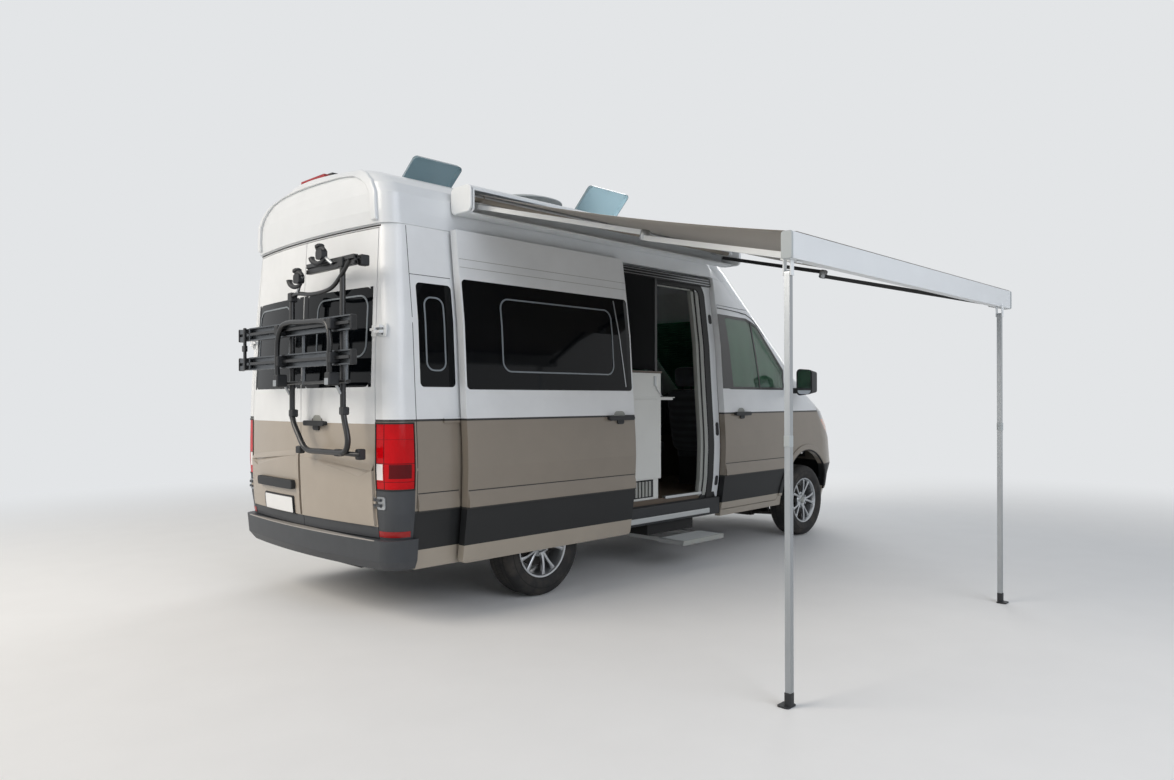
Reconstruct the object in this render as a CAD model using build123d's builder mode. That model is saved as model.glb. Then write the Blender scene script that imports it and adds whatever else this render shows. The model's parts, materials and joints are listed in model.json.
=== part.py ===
from build123d import *
import math
import os
from collections import namedtuple

os.makedirs("parts", exist_ok=True)

# Camper van with a raised roof, its sliding door open and its awning drawn out.
# X runs forward from the rear axle, Y to the left from the middle and Z up from the
# ground, in millimetres. Every piece is moved by the same shift when it is written, so
# that the stored origin is the middle of the ground that the whole vehicle covers.

# Driving dimensions
WHEELBASE = 3640
TRACK = 1713
WHEEL_RADIUS = 356
TYRE_WIDTH = 236
HALF_WIDTH = 1020
REAR_FACE = -1335
NOSE = 4631
SILL_BOTTOM = 345
ROOF_SEAM = 2480
WALL = 60
ROOF_WALL = 40
GLASS_DEPTH = 10
SHUT_LINE = 6
FLOOR_TOP = 570
FLOOR_THICKNESS = 50
REACH = 1400

# Joint clearances
RUNNING_CLEARANCE = 0.05
WASHER_GAP = 1
SEAT_GAP = 0.3

# Plan outlines of the steel body, from the sill to the roof seam. Each row gives its
# height and how far it stays inside the widest, rearmost and foremost lines.
Row = namedtuple(
    "Row", "height tuck rear_in shoulder_back shoulder_tuck corner_back corner_y nose_back"
)
BODY_ROWS = [
    Row(SILL_BOTTOM, 65, 45, 731, 115, 231, 700, 41),
    Row(700, 12, 10, 631, 55, 161, 760, 0),
    Row(960, 0, 0, 631, 55, 211, 760, 31),
    Row(1100, 4, 0, 681, 65, 251, 765, 91),
    Row(1260, 14, 0, 751, 85, 381, 780, 221),
    Row(1500, 30, 2, 1181, 120, 781, 790, 691),
    Row(1880, 52, 20, 1631, 150, 1226, 755, 1121),
    Row(2230, 95, 35, 1981, 178, 1641, 720, 1501),
    Row(ROOF_SEAM, 125, 50, 2281, 190, 1931, 690, 1801),
]
ROOF_ROWS = [
    Row(ROOF_SEAM, 117, 35, 2311, 182, 1941, 696, 1806),
    Row(2560, 119, 30, 2411, 188, 2021, 685, 1886),
    Row(2670, 127, 30, 2511, 205, 2141, 650, 2006),
    Row(2740, 175, 34, 2631, 260, 2261, 600, 2126),
    Row(2800, 260, 42, 2781, 350, 2421, 535, 2276),
    Row(2850, 390, 56, 2981, 470, 2651, 440, 2501),
    Row(2885, 600, 85, 3231, 640, 2961, 300, 2831),
]
REAR_CORNER_DEPTH = 60
REAR_CORNER_WIDTH = 95
REAR_CORNER_LENGTH = 180
CORNER_BULGE = 0.18
SHOULDER_BULGE = 0.10
STRAIGHT_END = 150

# Places along the body
CAB_LINE = 2152
SHOULDER_START = 2092
DOOR_HINGE_X = 3368
DOOR_HINGE_Y = 978
REAR_HINGE_X = REAR_FACE + 48
REAR_HINGE_Y = 848
SLIDE_TRAVEL = 1310
SLIDE_OUT = 85
FRONT_AXLE = WHEELBASE
KINGPIN_Y = 700
AXLE_HEIGHT = WHEEL_RADIUS


def bulged(start, end, share):
    """Middle point of an arc whose rise is the share of its chord."""
    run_x = end[0] - start[0]
    run_y = end[1] - start[1]
    return ((start[0] + end[0]) / 2 + run_y * share, (start[1] + end[1]) / 2 - run_x * share)


def plan_ring(row, inset, height):
    """Closed plan outline at one height, drawn in by the inset."""
    half = HALF_WIDTH - row.tuck - inset
    rear = REAR_FACE + row.rear_in + inset
    nose = NOSE - row.nose_back - inset
    crease = (rear + REAR_CORNER_DEPTH, half - REAR_CORNER_WIDTH)
    flank = (rear + REAR_CORNER_LENGTH, half)
    shoulder = (NOSE - row.shoulder_back - 0.3 * inset, HALF_WIDTH - row.shoulder_tuck - inset)
    corner = (NOSE - row.corner_back - 0.8 * inset, row.corner_y - 0.6 * inset)
    with BuildSketch(Plane.XY.offset(height)) as ring:
        with BuildLine():
            for side in (1, -1):
                points = [(x, y * side) for x, y in (crease, flank, shoulder, corner)]
                door_line = (min(SHOULDER_START, shoulder[0] - STRAIGHT_END), half * side)
                ThreePointArc(points[0], bulged(points[0], points[1], -CORNER_BULGE * side), points[1])
                Line(points[1], door_line)
                Line(door_line, points[2])
                ThreePointArc(points[2], bulged(points[2], points[3], -SHOULDER_BULGE * side), points[3])
            ThreePointArc(crease, (rear, 0), (crease[0], -crease[1]))
            ThreePointArc(corner, (nose, 0), (corner[0], -corner[1]))
        make_face()
    return ring.sketch


def layered_form(rows, inset, bottom, top):
    """Solid through the outlines of all rows, inside the skin by the inset."""
    heights = [bottom] + [row.height for row in rows[1:-1]] + [top]
    rings = [plan_ring(row, inset, height) for row, height in zip(rows, heights)]
    with BuildPart() as form:
        loft(sections=rings, ruled=True)
    return form.part


def side_bar(corners, radius=0, grow=0, both=False):
    """Bar along Y with an XZ outline, from the middle past the right side, or past both."""
    with BuildPart() as bar:
        with BuildSketch(Plane.XZ):
            with BuildLine():
                if radius:
                    FilletPolyline(*corners, close=True, radius=radius)
                else:
                    Polyline(*corners, close=True)
            make_face()
            if grow:
                offset(amount=grow, kind=Kind.INTERSECTION, mode=Mode.REPLACE)
        extrude(amount=REACH, both=both)
    return bar.part


def end_bar(corners, start, end, radius=0, grow=0):
    """Bar along X with a YZ outline, from one X to another."""
    with BuildPart() as bar:
        with BuildSketch(Plane.YZ.offset(start)):
            with BuildLine():
                if radius:
                    FilletPolyline(*corners, close=True, radius=radius)
                else:
                    Polyline(*corners, close=True)
            make_face()
            if grow:
                offset(amount=grow, kind=Kind.INTERSECTION, mode=Mode.REPLACE)
        extrude(amount=end - start)
    return bar.part


def frame_box(low_x, high_x, low_y, high_y, low_z, high_z):
    """Plain block between two values on each axis."""
    middle = ((low_x + high_x) / 2, (low_y + high_y) / 2, (low_z + high_z) / 2)
    with BuildPart(mode=Mode.PRIVATE) as block:
        with Locations(middle):
            Box(high_x - low_x, high_y - low_y, high_z - low_z)
    return block.part


HINGE_PIN = 5
HINGE_BARREL = 10
HINGE_THIRD = 16


def hinge_half(line, leaf, turning):
    """Hinge barrel along the plane's normal with its leaf: the turning eye, or the ears and pin."""
    low_x, high_x, low_y, high_y = leaf
    starts = [HINGE_THIRD] if turning else [0, 2 * HINGE_THIRD]
    with BuildPart() as half:
        for start in starts:
            with BuildSketch(line.offset(start + WASHER_GAP / 2)):
                Circle(HINGE_BARREL)
                with Locations(((low_x + high_x) / 2, (low_y + high_y) / 2)):
                    Rectangle(high_x - low_x, high_y - low_y)
            extrude(amount=HINGE_THIRD - WASHER_GAP)
        with BuildSketch(line.offset(WASHER_GAP)):
            Circle(HINGE_PIN + RUNNING_CLEARANCE if turning else HINGE_PIN)
        extrude(amount=3 * HINGE_THIRD - 2 * WASHER_GAP, mode=Mode.SUBTRACT if turning else Mode.ADD)
    return half.part


def hinge_relief(line, gap):
    """Round pocket in which a hinge barrel turns free."""
    with BuildPart() as pocket:
        with BuildSketch(line.offset(-WASHER_GAP)):
            Circle(HINGE_BARREL + gap)
        extrude(amount=3 * HINGE_THIRD + 2 * WASHER_GAP)
    return pocket.part


# Whole forms: the outside, the inside of the walls, and the depths of the glass
outer_form = layered_form(BODY_ROWS, 0, SILL_BOTTOM, ROOF_SEAM)
inner_form = layered_form(BODY_ROWS, WALL, SILL_BOTTOM - 40, ROOF_SEAM + 20)
pane_form = layered_form(BODY_ROWS, GLASS_DEPTH, SILL_BOTTOM - 40, ROOF_SEAM + 20)
trim_form = layered_form(BODY_ROWS, WALL + 45, SILL_BOTTOM - 40, ROOF_SEAM + 20)

with BuildPart() as shell:
    add(outer_form)
    add(inner_form, mode=Mode.SUBTRACT)
with BuildPart() as pane_skin:
    add(outer_form)
    add(pane_form, mode=Mode.SUBTRACT)

cab_zone = side_bar([(CAB_LINE, 200), (5200, 200), (5200, 2600), (CAB_LINE, 2600)], both=True)
load_zone = side_bar(
    [(-1600, 200), (CAB_LINE, 200), (CAB_LINE, 2600), (-1600, 2600)], both=True
)
with BuildPart() as cab_shell:
    add(shell.part)
    add(cab_zone, mode=Mode.INTERSECT)
with BuildPart() as load_shell:
    add(shell.part)
    add(load_zone, mode=Mode.INTERSECT)

# Outlines of the openings, seen from the side or from the end
FRONT_DOOR = [
    (CAB_LINE + 6, 405), (3120, 405), (3290, 790), (3362, 1000), (3420, 1480), (3440, 1690),
    (2985, 2180), (2760, 2238), (CAB_LINE + 6, 2238),
]
FRONT_WINDOW = [
    (2240, 1480), (3330, 1480), (3345, 1680), (2925, 2105), (2730, 2160), (2240, 2160),
]
SLIDING_DOOR = [(532, 350), (2146, 350), (2146, ROOF_SEAM + 30), (532, ROOF_SEAM + 30)]
SLIDING_HOLE = [
    (532 - SHUT_LINE, 300), (CAB_LINE + 50, 300), (CAB_LINE + 50, ROOF_SEAM + 60),
    (532 - SHUT_LINE, ROOF_SEAM + 60),
]
ENTRY = [(528, 520), (1900, 520), (1900, 2420), (528, 2420)]
SLIDING_BAND = [(545, 1455), (2133, 1455), (2133, 2160), (545, 2160)]
SLIDING_PANE = [(930, 1560), (1830, 1560), (1830, 2060), (930, 2060)]
QUARTER_BAND = [(-1057, 1470), (-790, 1470), (-790, 2120), (-1057, 2120)]
LEFT_BAND = [(1290, 1455), (2100, 1455), (2100, 2080), (1290, 2080)]
LEFT_PANE = [(1370, 1540), (2020, 1540), (2020, 2000), (1370, 2000)]
REAR_DOOR = [(-3, 548), (-842, 548), (-842, 1260), (-800, 2450), (-3, 2450)]
REAR_BAND = [(-52, 1470), (-778, 1470), (-762, 2090), (-52, 2090)]
WINDSCREEN = [(-752, 1512), (-700, 2200), (700, 2200), (752, 1512)]
BONNET = [(-470, 1096), (-785, 1330), (-785, 1486), (785, 1486), (785, 1330), (470, 1096)]
HEADLAMP = [(-492, 950), (-492, 1092), (-800, 1324), (-925, 1324), (-945, 1090), (-880, 950)]
BUMPER_TOP = 736
GRILLE = [(-480, BUMPER_TOP), (-480, 1084), (480, 1084), (480, BUMPER_TOP)]
TAIL_LAMP = [(-848, 846), (-848, 1248), (-1060, 1248), (-1060, 846)]
BUMPER_STEP = 542
CORNER_TRIM = [(-848, BUMPER_STEP), (-848, 846), (-1060, 846), (-1060, BUMPER_STEP)]
WINDOW_RADIUS = 60
DOOR_RADIUS = 30

# Front door with its window cut, and two hinges at its front edge
DOOR_HINGE_LOWS = [1006, 1106]
DOOR_LEAF = 40
DOOR_LEAF_HALF = 7
DOOR_HINGE_RELIEF = 6
door_hinge_lines = [
    Plane(origin=(DOOR_HINGE_X, -DOOR_HINGE_Y, low), x_dir=(1, 0, 0), z_dir=(0, 0, 1))
    for low in DOOR_HINGE_LOWS
]
with BuildPart() as front_door_right:
    add(cab_shell.part)
    add(side_bar(FRONT_DOOR, DOOR_RADIUS), mode=Mode.INTERSECT)
    add(side_bar(FRONT_WINDOW, WINDOW_RADIUS), mode=Mode.SUBTRACT)
    for line in door_hinge_lines:
        add(hinge_relief(line, DOOR_HINGE_RELIEF), mode=Mode.SUBTRACT)
        add(hinge_half(line, (-DOOR_LEAF, 0, -DOOR_LEAF_HALF, 2 * DOOR_LEAF_HALF), True))

with BuildPart() as door_glass_right:
    add(pane_skin.part)
    add(side_bar(FRONT_WINDOW, WINDOW_RADIUS), mode=Mode.INTERSECT)

# Wing mirror on its arm, carried by the front corner of the door
MIRROR_X = 3405
MIRROR_INNER_Y = -1040
MIRROR_OUTER_Y = -1212
MIRROR_LOW_Z = 1420
MIRROR_HIGH_Z = 1690
MIRROR_DEPTH = 130
MIRROR_ARM_Z = 1445
MIRROR_ARM_HEIGHT = 55
with BuildPart() as mirror_right:
    with BuildSketch(Plane.YZ.offset(MIRROR_X - MIRROR_DEPTH / 2)):
        with BuildLine():
            FilletPolyline(
                (MIRROR_INNER_Y, MIRROR_LOW_Z), (MIRROR_OUTER_Y, MIRROR_LOW_Z + 20),
                (MIRROR_OUTER_Y, MIRROR_HIGH_Z - 15), (MIRROR_INNER_Y, MIRROR_HIGH_Z),
                close=True, radius=40,
            )
        make_face()
    extrude(amount=MIRROR_DEPTH, taper=8)
    with BuildSketch(Plane.XY.offset(MIRROR_ARM_Z)):
        with BuildLine():
            Polyline(
                (MIRROR_X - 62, -880), (MIRROR_X - 8, -880), (MIRROR_X - 8, -940),
                (MIRROR_X + 40, -1060), (MIRROR_X - 40, -1060), (MIRROR_X - 62, -960), close=True,
            )
        make_face()
    extrude(amount=MIRROR_ARM_HEIGHT)
    add(outer_form, mode=Mode.SUBTRACT)

with BuildPart() as front_door_left:
    mirror(front_door_right.part, about=Plane.XZ)
with BuildPart() as door_glass_left:
    mirror(door_glass_right.part, about=Plane.XZ)
with BuildPart() as mirror_left:
    mirror(mirror_right.part, about=Plane.XZ)

# Front panels cut from the same skin
FRONT_START = 3300
FRONT_STOP = 4900
LAMP_START = 3950
with BuildPart() as windscreen:
    add(pane_skin.part)
    add(end_bar(WINDSCREEN, 2700, 4300, WINDOW_RADIUS), mode=Mode.INTERSECT)

BONNET_HINGE_X = 3967
BONNET_HINGE_Z = 1489
BONNET_HINGE_Y = [-226, 274]
bonnet_hinge_lines = [
    Plane(origin=(BONNET_HINGE_X, high_y, BONNET_HINGE_Z), x_dir=(1, 0, 0), z_dir=(0, -1, 0))
    for high_y in BONNET_HINGE_Y
]
with BuildPart() as bonnet:
    add(cab_shell.part)
    add(end_bar(BONNET, FRONT_START, FRONT_STOP, 20), mode=Mode.INTERSECT)
    for line in bonnet_hinge_lines:
        add(hinge_relief(line, 2 * WASHER_GAP), mode=Mode.SUBTRACT)
        add(hinge_half(line, (-26, 6, -30, 0), True))

with BuildPart() as headlamps:
    add(cab_shell.part)
    add(end_bar(HEADLAMP, LAMP_START, FRONT_STOP), mode=Mode.INTERSECT)
    mirror(about=Plane.XZ)

GRILLE_SLOTS = 4
GRILLE_PITCH = 80
with BuildPart() as grille:
    add(cab_shell.part)
    add(end_bar(GRILLE, FRONT_START, FRONT_STOP), mode=Mode.INTERSECT)
    with BuildSketch(Plane.YZ.offset(FRONT_START)):
        with Locations((0, (GRILLE[0][1] + GRILLE[1][1]) / 2)):
            with GridLocations(0, GRILLE_PITCH, 1, GRILLE_SLOTS):
                Rectangle(880, 46)
    extrude(amount=FRONT_STOP - FRONT_START, mode=Mode.SUBTRACT)

ARCH_X = 3660
ARCH_Z = 420
ARCH_RADIUS = 450
REAR_ARCH_RADIUS = 440
BUMPER_REAR = 3990
WING_TOP = 1489


def arch_cut(x, radius):
    """Round bar across the body that opens both wheel arches of one axle."""
    with BuildPart() as bar:
        with BuildSketch(Plane.XZ):
            with Locations((x, ARCH_Z)):
                Circle(radius)
            with Locations((x, ARCH_Z - radius / 2)):
                Rectangle(2 * radius, radius)
        extrude(amount=REACH, both=True)
    return bar.part


front_arch = arch_cut(ARCH_X, ARCH_RADIUS)
rear_arch = arch_cut(0, REAR_ARCH_RADIUS)
BUMPER_ZONE = [(BUMPER_REAR, 200), (4900, 200), (4900, BUMPER_TOP), (BUMPER_REAR, BUMPER_TOP)]
WING_ZONE = [
    (3126, 300), (BUMPER_REAR, 300), (BUMPER_REAR, BUMPER_TOP), (4900, BUMPER_TOP),
    (4900, WING_TOP), (3397, WING_TOP), (3338, 1000), (3266, 790), (3126, 440),
]

with BuildPart() as front_bumper:
    add(cab_shell.part)
    add(side_bar(BUMPER_ZONE, both=True), mode=Mode.INTERSECT)
    add(front_arch, mode=Mode.SUBTRACT)

with BuildPart() as front_wings:
    add(cab_shell.part)
    add(side_bar(WING_ZONE), mode=Mode.INTERSECT)
    add(side_bar(FRONT_DOOR, DOOR_RADIUS, SHUT_LINE), mode=Mode.SUBTRACT)
    add(end_bar(BONNET, FRONT_START, FRONT_STOP, 20, SHUT_LINE), mode=Mode.SUBTRACT)
    add(end_bar(HEADLAMP, LAMP_START, FRONT_STOP), mode=Mode.SUBTRACT)
    add(end_bar(GRILLE, FRONT_START, FRONT_STOP), mode=Mode.SUBTRACT)
    add(front_arch, mode=Mode.SUBTRACT)
    for line in door_hinge_lines:
        add(hinge_relief(line, DOOR_HINGE_RELIEF), mode=Mode.SUBTRACT)
        add(hinge_half(line, (0, DOOR_LEAF, -DOOR_LEAF_HALF, DOOR_LEAF_HALF), False))
    mirror(about=Plane.XZ)

with BuildPart() as right_door_hole:
    add(side_bar(FRONT_DOOR, DOOR_RADIUS, SHUT_LINE))
with BuildPart() as left_door_hole:
    mirror(right_door_hole.part, about=Plane.XZ)

with BuildPart() as cab_frame:
    add(cab_shell.part)
    add(right_door_hole.part, mode=Mode.SUBTRACT)
    add(left_door_hole.part, mode=Mode.SUBTRACT)
    add(end_bar(WINDSCREEN, 2700, 4300, WINDOW_RADIUS), mode=Mode.SUBTRACT)
    add(end_bar(BONNET, FRONT_START, FRONT_STOP, 20, SHUT_LINE), mode=Mode.SUBTRACT)
    add(side_bar(WING_ZONE, both=True), mode=Mode.SUBTRACT)
    add(side_bar(BUMPER_ZONE, both=True), mode=Mode.SUBTRACT)
    for line in bonnet_hinge_lines:
        add(hinge_relief(line, 2 * WASHER_GAP), mode=Mode.SUBTRACT)
        add(hinge_half(line, (-60, -6, 0, 20), False))

# Load body: sliding door and its glass, moved back and out along its rails
with BuildPart() as sliding_door_closed:
    add(load_shell.part)
    add(side_bar(SLIDING_DOOR, DOOR_RADIUS), mode=Mode.INTERSECT)
with BuildPart() as sliding_glass_closed:
    add(pane_skin.part)
    add(side_bar(SLIDING_BAND, DOOR_RADIUS), mode=Mode.INTERSECT)
door_shift = Location((-SLIDE_TRAVEL, -SLIDE_OUT, 0))
SIDE_RAIL_Z = 1262
SIDE_RAIL_HALF = 16
SIDE_RAIL_OUT = 16
SIDE_RAIL_Y = -HALF_WIDTH + 14
SIDE_RAIL_REAR = -900
SIDE_RAIL_FRONT = 520
RUNNER_REAR = -740
RUNNER_FRONT = -640
RUNNER_HALF = 24
RUNNER_Y = SIDE_RAIL_Y - SIDE_RAIL_OUT - SEAT_GAP
with BuildPart() as sliding_door:
    add(sliding_door_closed.part.moved(door_shift))
    add(sliding_glass_closed.part.moved(door_shift), mode=Mode.SUBTRACT)
    add(side_bar(SLIDING_PANE, WINDOW_RADIUS).moved(door_shift), mode=Mode.SUBTRACT)
    add(
        frame_box(
            RUNNER_REAR, RUNNER_FRONT, -HALF_WIDTH - SLIDE_OUT + WALL - 10, RUNNER_Y,
            SIDE_RAIL_Z - RUNNER_HALF, SIDE_RAIL_Z + RUNNER_HALF,
        )
    )
with BuildPart() as sliding_door_glass:
    add(sliding_glass_closed.part.moved(door_shift))

# Rear doors with glass let into the skin, cut from the tail between two places along X
TAIL_FAR = -1500
TAIL_NEAR = -1150
with BuildPart() as rear_glass_right:
    add(pane_skin.part)
    add(end_bar(REAR_BAND, TAIL_FAR, TAIL_NEAR, 40), mode=Mode.INTERSECT)
REAR_PANE = [(-120, 1540), (-710, 1540), (-700, 2030), (-120, 2030)]
REAR_HINGE_LOWS = [744, 1796]
REAR_LEAF = 52
REAR_LEAF_OUT = 4
REAR_LEAF_IN = 40
REAR_LEAF_NOTCH = 26
rear_hinge_lines = [
    Plane(origin=(REAR_HINGE_X, -REAR_HINGE_Y, low), x_dir=(1, 0, 0), z_dir=(0, 0, 1))
    for low in REAR_HINGE_LOWS
]
with BuildPart() as rear_door_right:
    add(load_shell.part)
    add(end_bar(REAR_DOOR, TAIL_FAR, TAIL_NEAR), mode=Mode.INTERSECT)
    add(rear_glass_right.part, mode=Mode.SUBTRACT)
    add(end_bar(REAR_PANE, TAIL_FAR, TAIL_NEAR, 40), mode=Mode.SUBTRACT)
    for line in rear_hinge_lines:
        add(hinge_relief(line, 2 * WASHER_GAP), mode=Mode.SUBTRACT)
        add(hinge_half(line, (-REAR_LEAF_OUT, REAR_LEAF_IN, 0, REAR_LEAF), True))
with BuildPart() as rear_door_left:
    mirror(rear_door_right.part, about=Plane.XZ)
with BuildPart() as rear_glass_left:
    mirror(rear_glass_right.part, about=Plane.XZ)

LAMP_FRONT = -1112
with BuildPart() as tail_lamps:
    add(load_shell.part)
    add(end_bar(TAIL_LAMP, TAIL_FAR, LAMP_FRONT), mode=Mode.INTERSECT)
    mirror(about=Plane.XZ)

# Rear bumper: a step below the doors that wraps both corners up to the lamps
BUMPER_FRONT = -1085
BUMPER_ROWS = [
    Row(354, 52, 20, 731, 115, 231, 700, 41),
    Row(410, 26, -18, 631, 80, 191, 740, 21),
    Row(BUMPER_STEP, 12, -25, 631, 55, 161, 760, 0),
]
bumper_form = layered_form(BUMPER_ROWS, 0, 354, BUMPER_STEP)
REAR_BUMPER_ZONE = [
    (-1600, 200), (BUMPER_FRONT, 200), (BUMPER_FRONT, BUMPER_STEP), (-1600, BUMPER_STEP),
]
with BuildPart() as rear_bumper:
    add(bumper_form)
    add(inner_form, mode=Mode.SUBTRACT)
    add(side_bar(REAR_BUMPER_ZONE, both=True), mode=Mode.INTERSECT)
with BuildPart() as corner_trim:
    add(load_shell.part)
    add(end_bar(CORNER_TRIM, TAIL_FAR, LAMP_FRONT), mode=Mode.INTERSECT)
    add(hinge_relief(rear_hinge_lines[0], 2 * WASHER_GAP), mode=Mode.SUBTRACT)
    add(hinge_half(rear_hinge_lines[0], (-REAR_LEAF_OUT, REAR_LEAF_IN, -REAR_LEAF, 0), False))
with BuildPart() as rear_bumper_set:
    add(rear_bumper.part)
    add(corner_trim.part)
    mirror(corner_trim.part, about=Plane.XZ)

# Body sides
with BuildPart() as side_windows:
    add(pane_skin.part)
    add(side_bar(QUARTER_BAND, 30), mode=Mode.INTERSECT)
    mirror(about=Plane.XZ)
with BuildPart() as left_band_glass:
    add(pane_skin.part)
    add(side_bar(LEFT_BAND, 30), mode=Mode.INTERSECT)
    mirror(about=Plane.XZ, mode=Mode.REPLACE)
with BuildPart() as window_set:
    add(side_windows.part)
    add(left_band_glass.part)


def solid_pieces(part, least=20000):
    """Solids of a part without the slivers that cuts can leave along an edge."""
    return [piece for piece in part.solids() if piece.volume > least]


RIGHT_HALF = side_bar([(-1600, 200), (CAB_LINE, 200), (CAB_LINE, 2600), (-1600, 2600)])
with BuildPart() as right_side_blank:
    add(load_shell.part)
    add(RIGHT_HALF, mode=Mode.INTERSECT)
    add(side_bar(QUARTER_BAND, 30), mode=Mode.SUBTRACT)
    add(end_bar(REAR_DOOR, TAIL_FAR, TAIL_NEAR, 0, SHUT_LINE), mode=Mode.SUBTRACT)
    add(end_bar(TAIL_LAMP, TAIL_FAR, LAMP_FRONT), mode=Mode.SUBTRACT)
    add(end_bar(CORNER_TRIM, TAIL_FAR, LAMP_FRONT), mode=Mode.SUBTRACT)
    add(side_bar(REAR_BUMPER_ZONE, both=True), mode=Mode.SUBTRACT)
    add(rear_arch, mode=Mode.SUBTRACT)
    add(hinge_relief(rear_hinge_lines[1], 2 * WASHER_GAP), mode=Mode.SUBTRACT)
    add(
        frame_box(
            REAR_FACE - REAR_LEAF, REAR_HINGE_X + REAR_LEAF_IN + SHUT_LINE, -REAR_HINGE_Y,
            -REAR_HINGE_Y + REAR_LEAF_NOTCH, REAR_HINGE_LOWS[1] - WASHER_GAP,
            REAR_HINGE_LOWS[1] + 3 * HINGE_THIRD + WASHER_GAP,
        ),
        mode=Mode.SUBTRACT,
    )
    add(hinge_half(rear_hinge_lines[1], (-REAR_LEAF_OUT, REAR_LEAF_IN, -REAR_LEAF, 0), False))

# The doorway has an inner frame behind the skin, which the closed door covers
PORTAL = [(440, 430), (CAB_LINE, 430), (CAB_LINE, ROOF_SEAM), (440, ROOF_SEAM)]
with BuildPart() as portal_frame:
    add(inner_form)
    add(trim_form, mode=Mode.SUBTRACT)
    add(side_bar(PORTAL), mode=Mode.INTERSECT)
    add(side_bar(ENTRY, 40), mode=Mode.SUBTRACT)

# The middle rail of the sliding door runs along the skin behind the doorway
with BuildPart() as body_side_right:
    add(right_side_blank.part)
    add(side_bar(SLIDING_HOLE), mode=Mode.SUBTRACT)
    add(portal_frame.part)
    add(
        frame_box(
            SIDE_RAIL_REAR, SIDE_RAIL_FRONT, SIDE_RAIL_Y - SIDE_RAIL_OUT, SIDE_RAIL_Y + WALL / 2,
            SIDE_RAIL_Z - SIDE_RAIL_HALF, SIDE_RAIL_Z + SIDE_RAIL_HALF,
        )
    )

with BuildPart() as body_side_left:
    add(mirror(right_side_blank.part, about=Plane.XZ, mode=Mode.PRIVATE))
    add(left_band_glass.part, mode=Mode.SUBTRACT)
    add(
        mirror(side_bar(LEFT_PANE, WINDOW_RADIUS), about=Plane.XZ, mode=Mode.PRIVATE),
        mode=Mode.SUBTRACT,
    )

# Raised plastic roof with two roof light holes
roof_outer = layered_form(ROOF_ROWS, 0, ROOF_SEAM, ROOF_ROWS[-1].height)
roof_inner = layered_form(ROOF_ROWS, ROOF_WALL, ROOF_SEAM - 20, ROOF_ROWS[-1].height - ROOF_WALL)
ROOF_CROWN = ROOF_ROWS[-1].height
DISH_X = 670
MOUNT_RADIUS = 95
PLINTH_HEIGHT = 30
Light = namedtuple("Light", "name rear front hinge_y width angle")
ROOF_LIGHTS = [
    Light("rear", -480, -60, 210, 400, 38),
    Light("front", 1300, 1800, 150, 480, 45),
]
LID_THICKNESS = 34
CURB_HEIGHT = 36
CURB_WALL = 30
LID_RISE = 6
LID_OVERHANG = 12
LID_HINGE_INSET = 70
LID_REACH_IN = -LID_OVERHANG - CURB_WALL / 2


def lid_hinge_lines(light):
    """Planes at the rear ends of a roof light's two hinges, their normals along the hinge line."""
    place = (light.hinge_y + LID_OVERHANG, ROOF_CROWN + CURB_HEIGHT + LID_RISE)
    starts = (light.rear + LID_HINGE_INSET, light.front - LID_HINGE_INSET - 3 * HINGE_THIRD)
    return [Plane(origin=(start, *place), x_dir=(0, 1, 0), z_dir=(1, 0, 0)) for start in starts]


with BuildPart() as high_roof:
    add(roof_outer)
    add(roof_inner, mode=Mode.SUBTRACT)
    for light in ROOF_LIGHTS:
        centre_x = (light.rear + light.front) / 2
        centre_y = light.hinge_y - light.width / 2
        length = light.front - light.rear
        with BuildSketch(Plane.XY.offset(ROOF_CROWN - ROOF_WALL)):
            with Locations((centre_x, centre_y)):
                RectangleRounded(length, light.width, 40)
        extrude(amount=ROOF_WALL + CURB_HEIGHT)
        with BuildSketch(Plane.XY.offset(ROOF_CROWN - 2 * ROOF_WALL)):
            with Locations((centre_x, centre_y)):
                RectangleRounded(length - 2 * CURB_WALL, light.width - 2 * CURB_WALL, 20)
        extrude(amount=3 * ROOF_WALL + CURB_HEIGHT, mode=Mode.SUBTRACT)
        for line in lid_hinge_lines(light):
            add(hinge_half(line, (LID_REACH_IN, HINGE_BARREL, -CURB_HEIGHT, -LID_RISE), False))
    with BuildSketch(Plane.XY.offset(ROOF_CROWN - ROOF_WALL / 2)):
        with Locations((DISH_X, 0)):
            Circle(MOUNT_RADIUS + 25)
    extrude(amount=PLINTH_HEIGHT + ROOF_WALL / 2)

# Roof light lids, hinged along their left edge and standing open
roof_lids = {}
for light in ROOF_LIGHTS:
    centre_x = (light.rear + light.front) / 2
    centre_y = light.hinge_y - light.width / 2
    length = light.front - light.rear
    hinge_z = ROOF_CROWN + CURB_HEIGHT + LID_RISE
    with BuildPart() as closed_lid:
        with BuildSketch(Plane.XY.offset(hinge_z)):
            with Locations((centre_x, centre_y)):
                RectangleRounded(length + 2 * LID_OVERHANG, light.width + 2 * LID_OVERHANG, 45)
        extrude(amount=LID_THICKNESS, taper=20)
        with BuildSketch(Plane.XY.offset(hinge_z)):
            with Locations((centre_x, centre_y)):
                RectangleRounded(length + LID_OVERHANG, light.width + LID_OVERHANG, 40)
        extrude(amount=LID_THICKNESS - 6, taper=20, mode=Mode.SUBTRACT)
        for line in lid_hinge_lines(light):
            add(hinge_relief(line, 2 * WASHER_GAP), mode=Mode.SUBTRACT)
            add(hinge_half(line, (-2 * LID_OVERHANG, 0, 0, HINGE_BARREL), True))
    hinge_line = Axis((0, light.hinge_y + LID_OVERHANG, hinge_z), (1, 0, 0))
    with BuildPart() as lid:
        add(closed_lid.part.rotate(hinge_line, -light.angle))
    roof_lids[light.name] = lid

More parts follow.
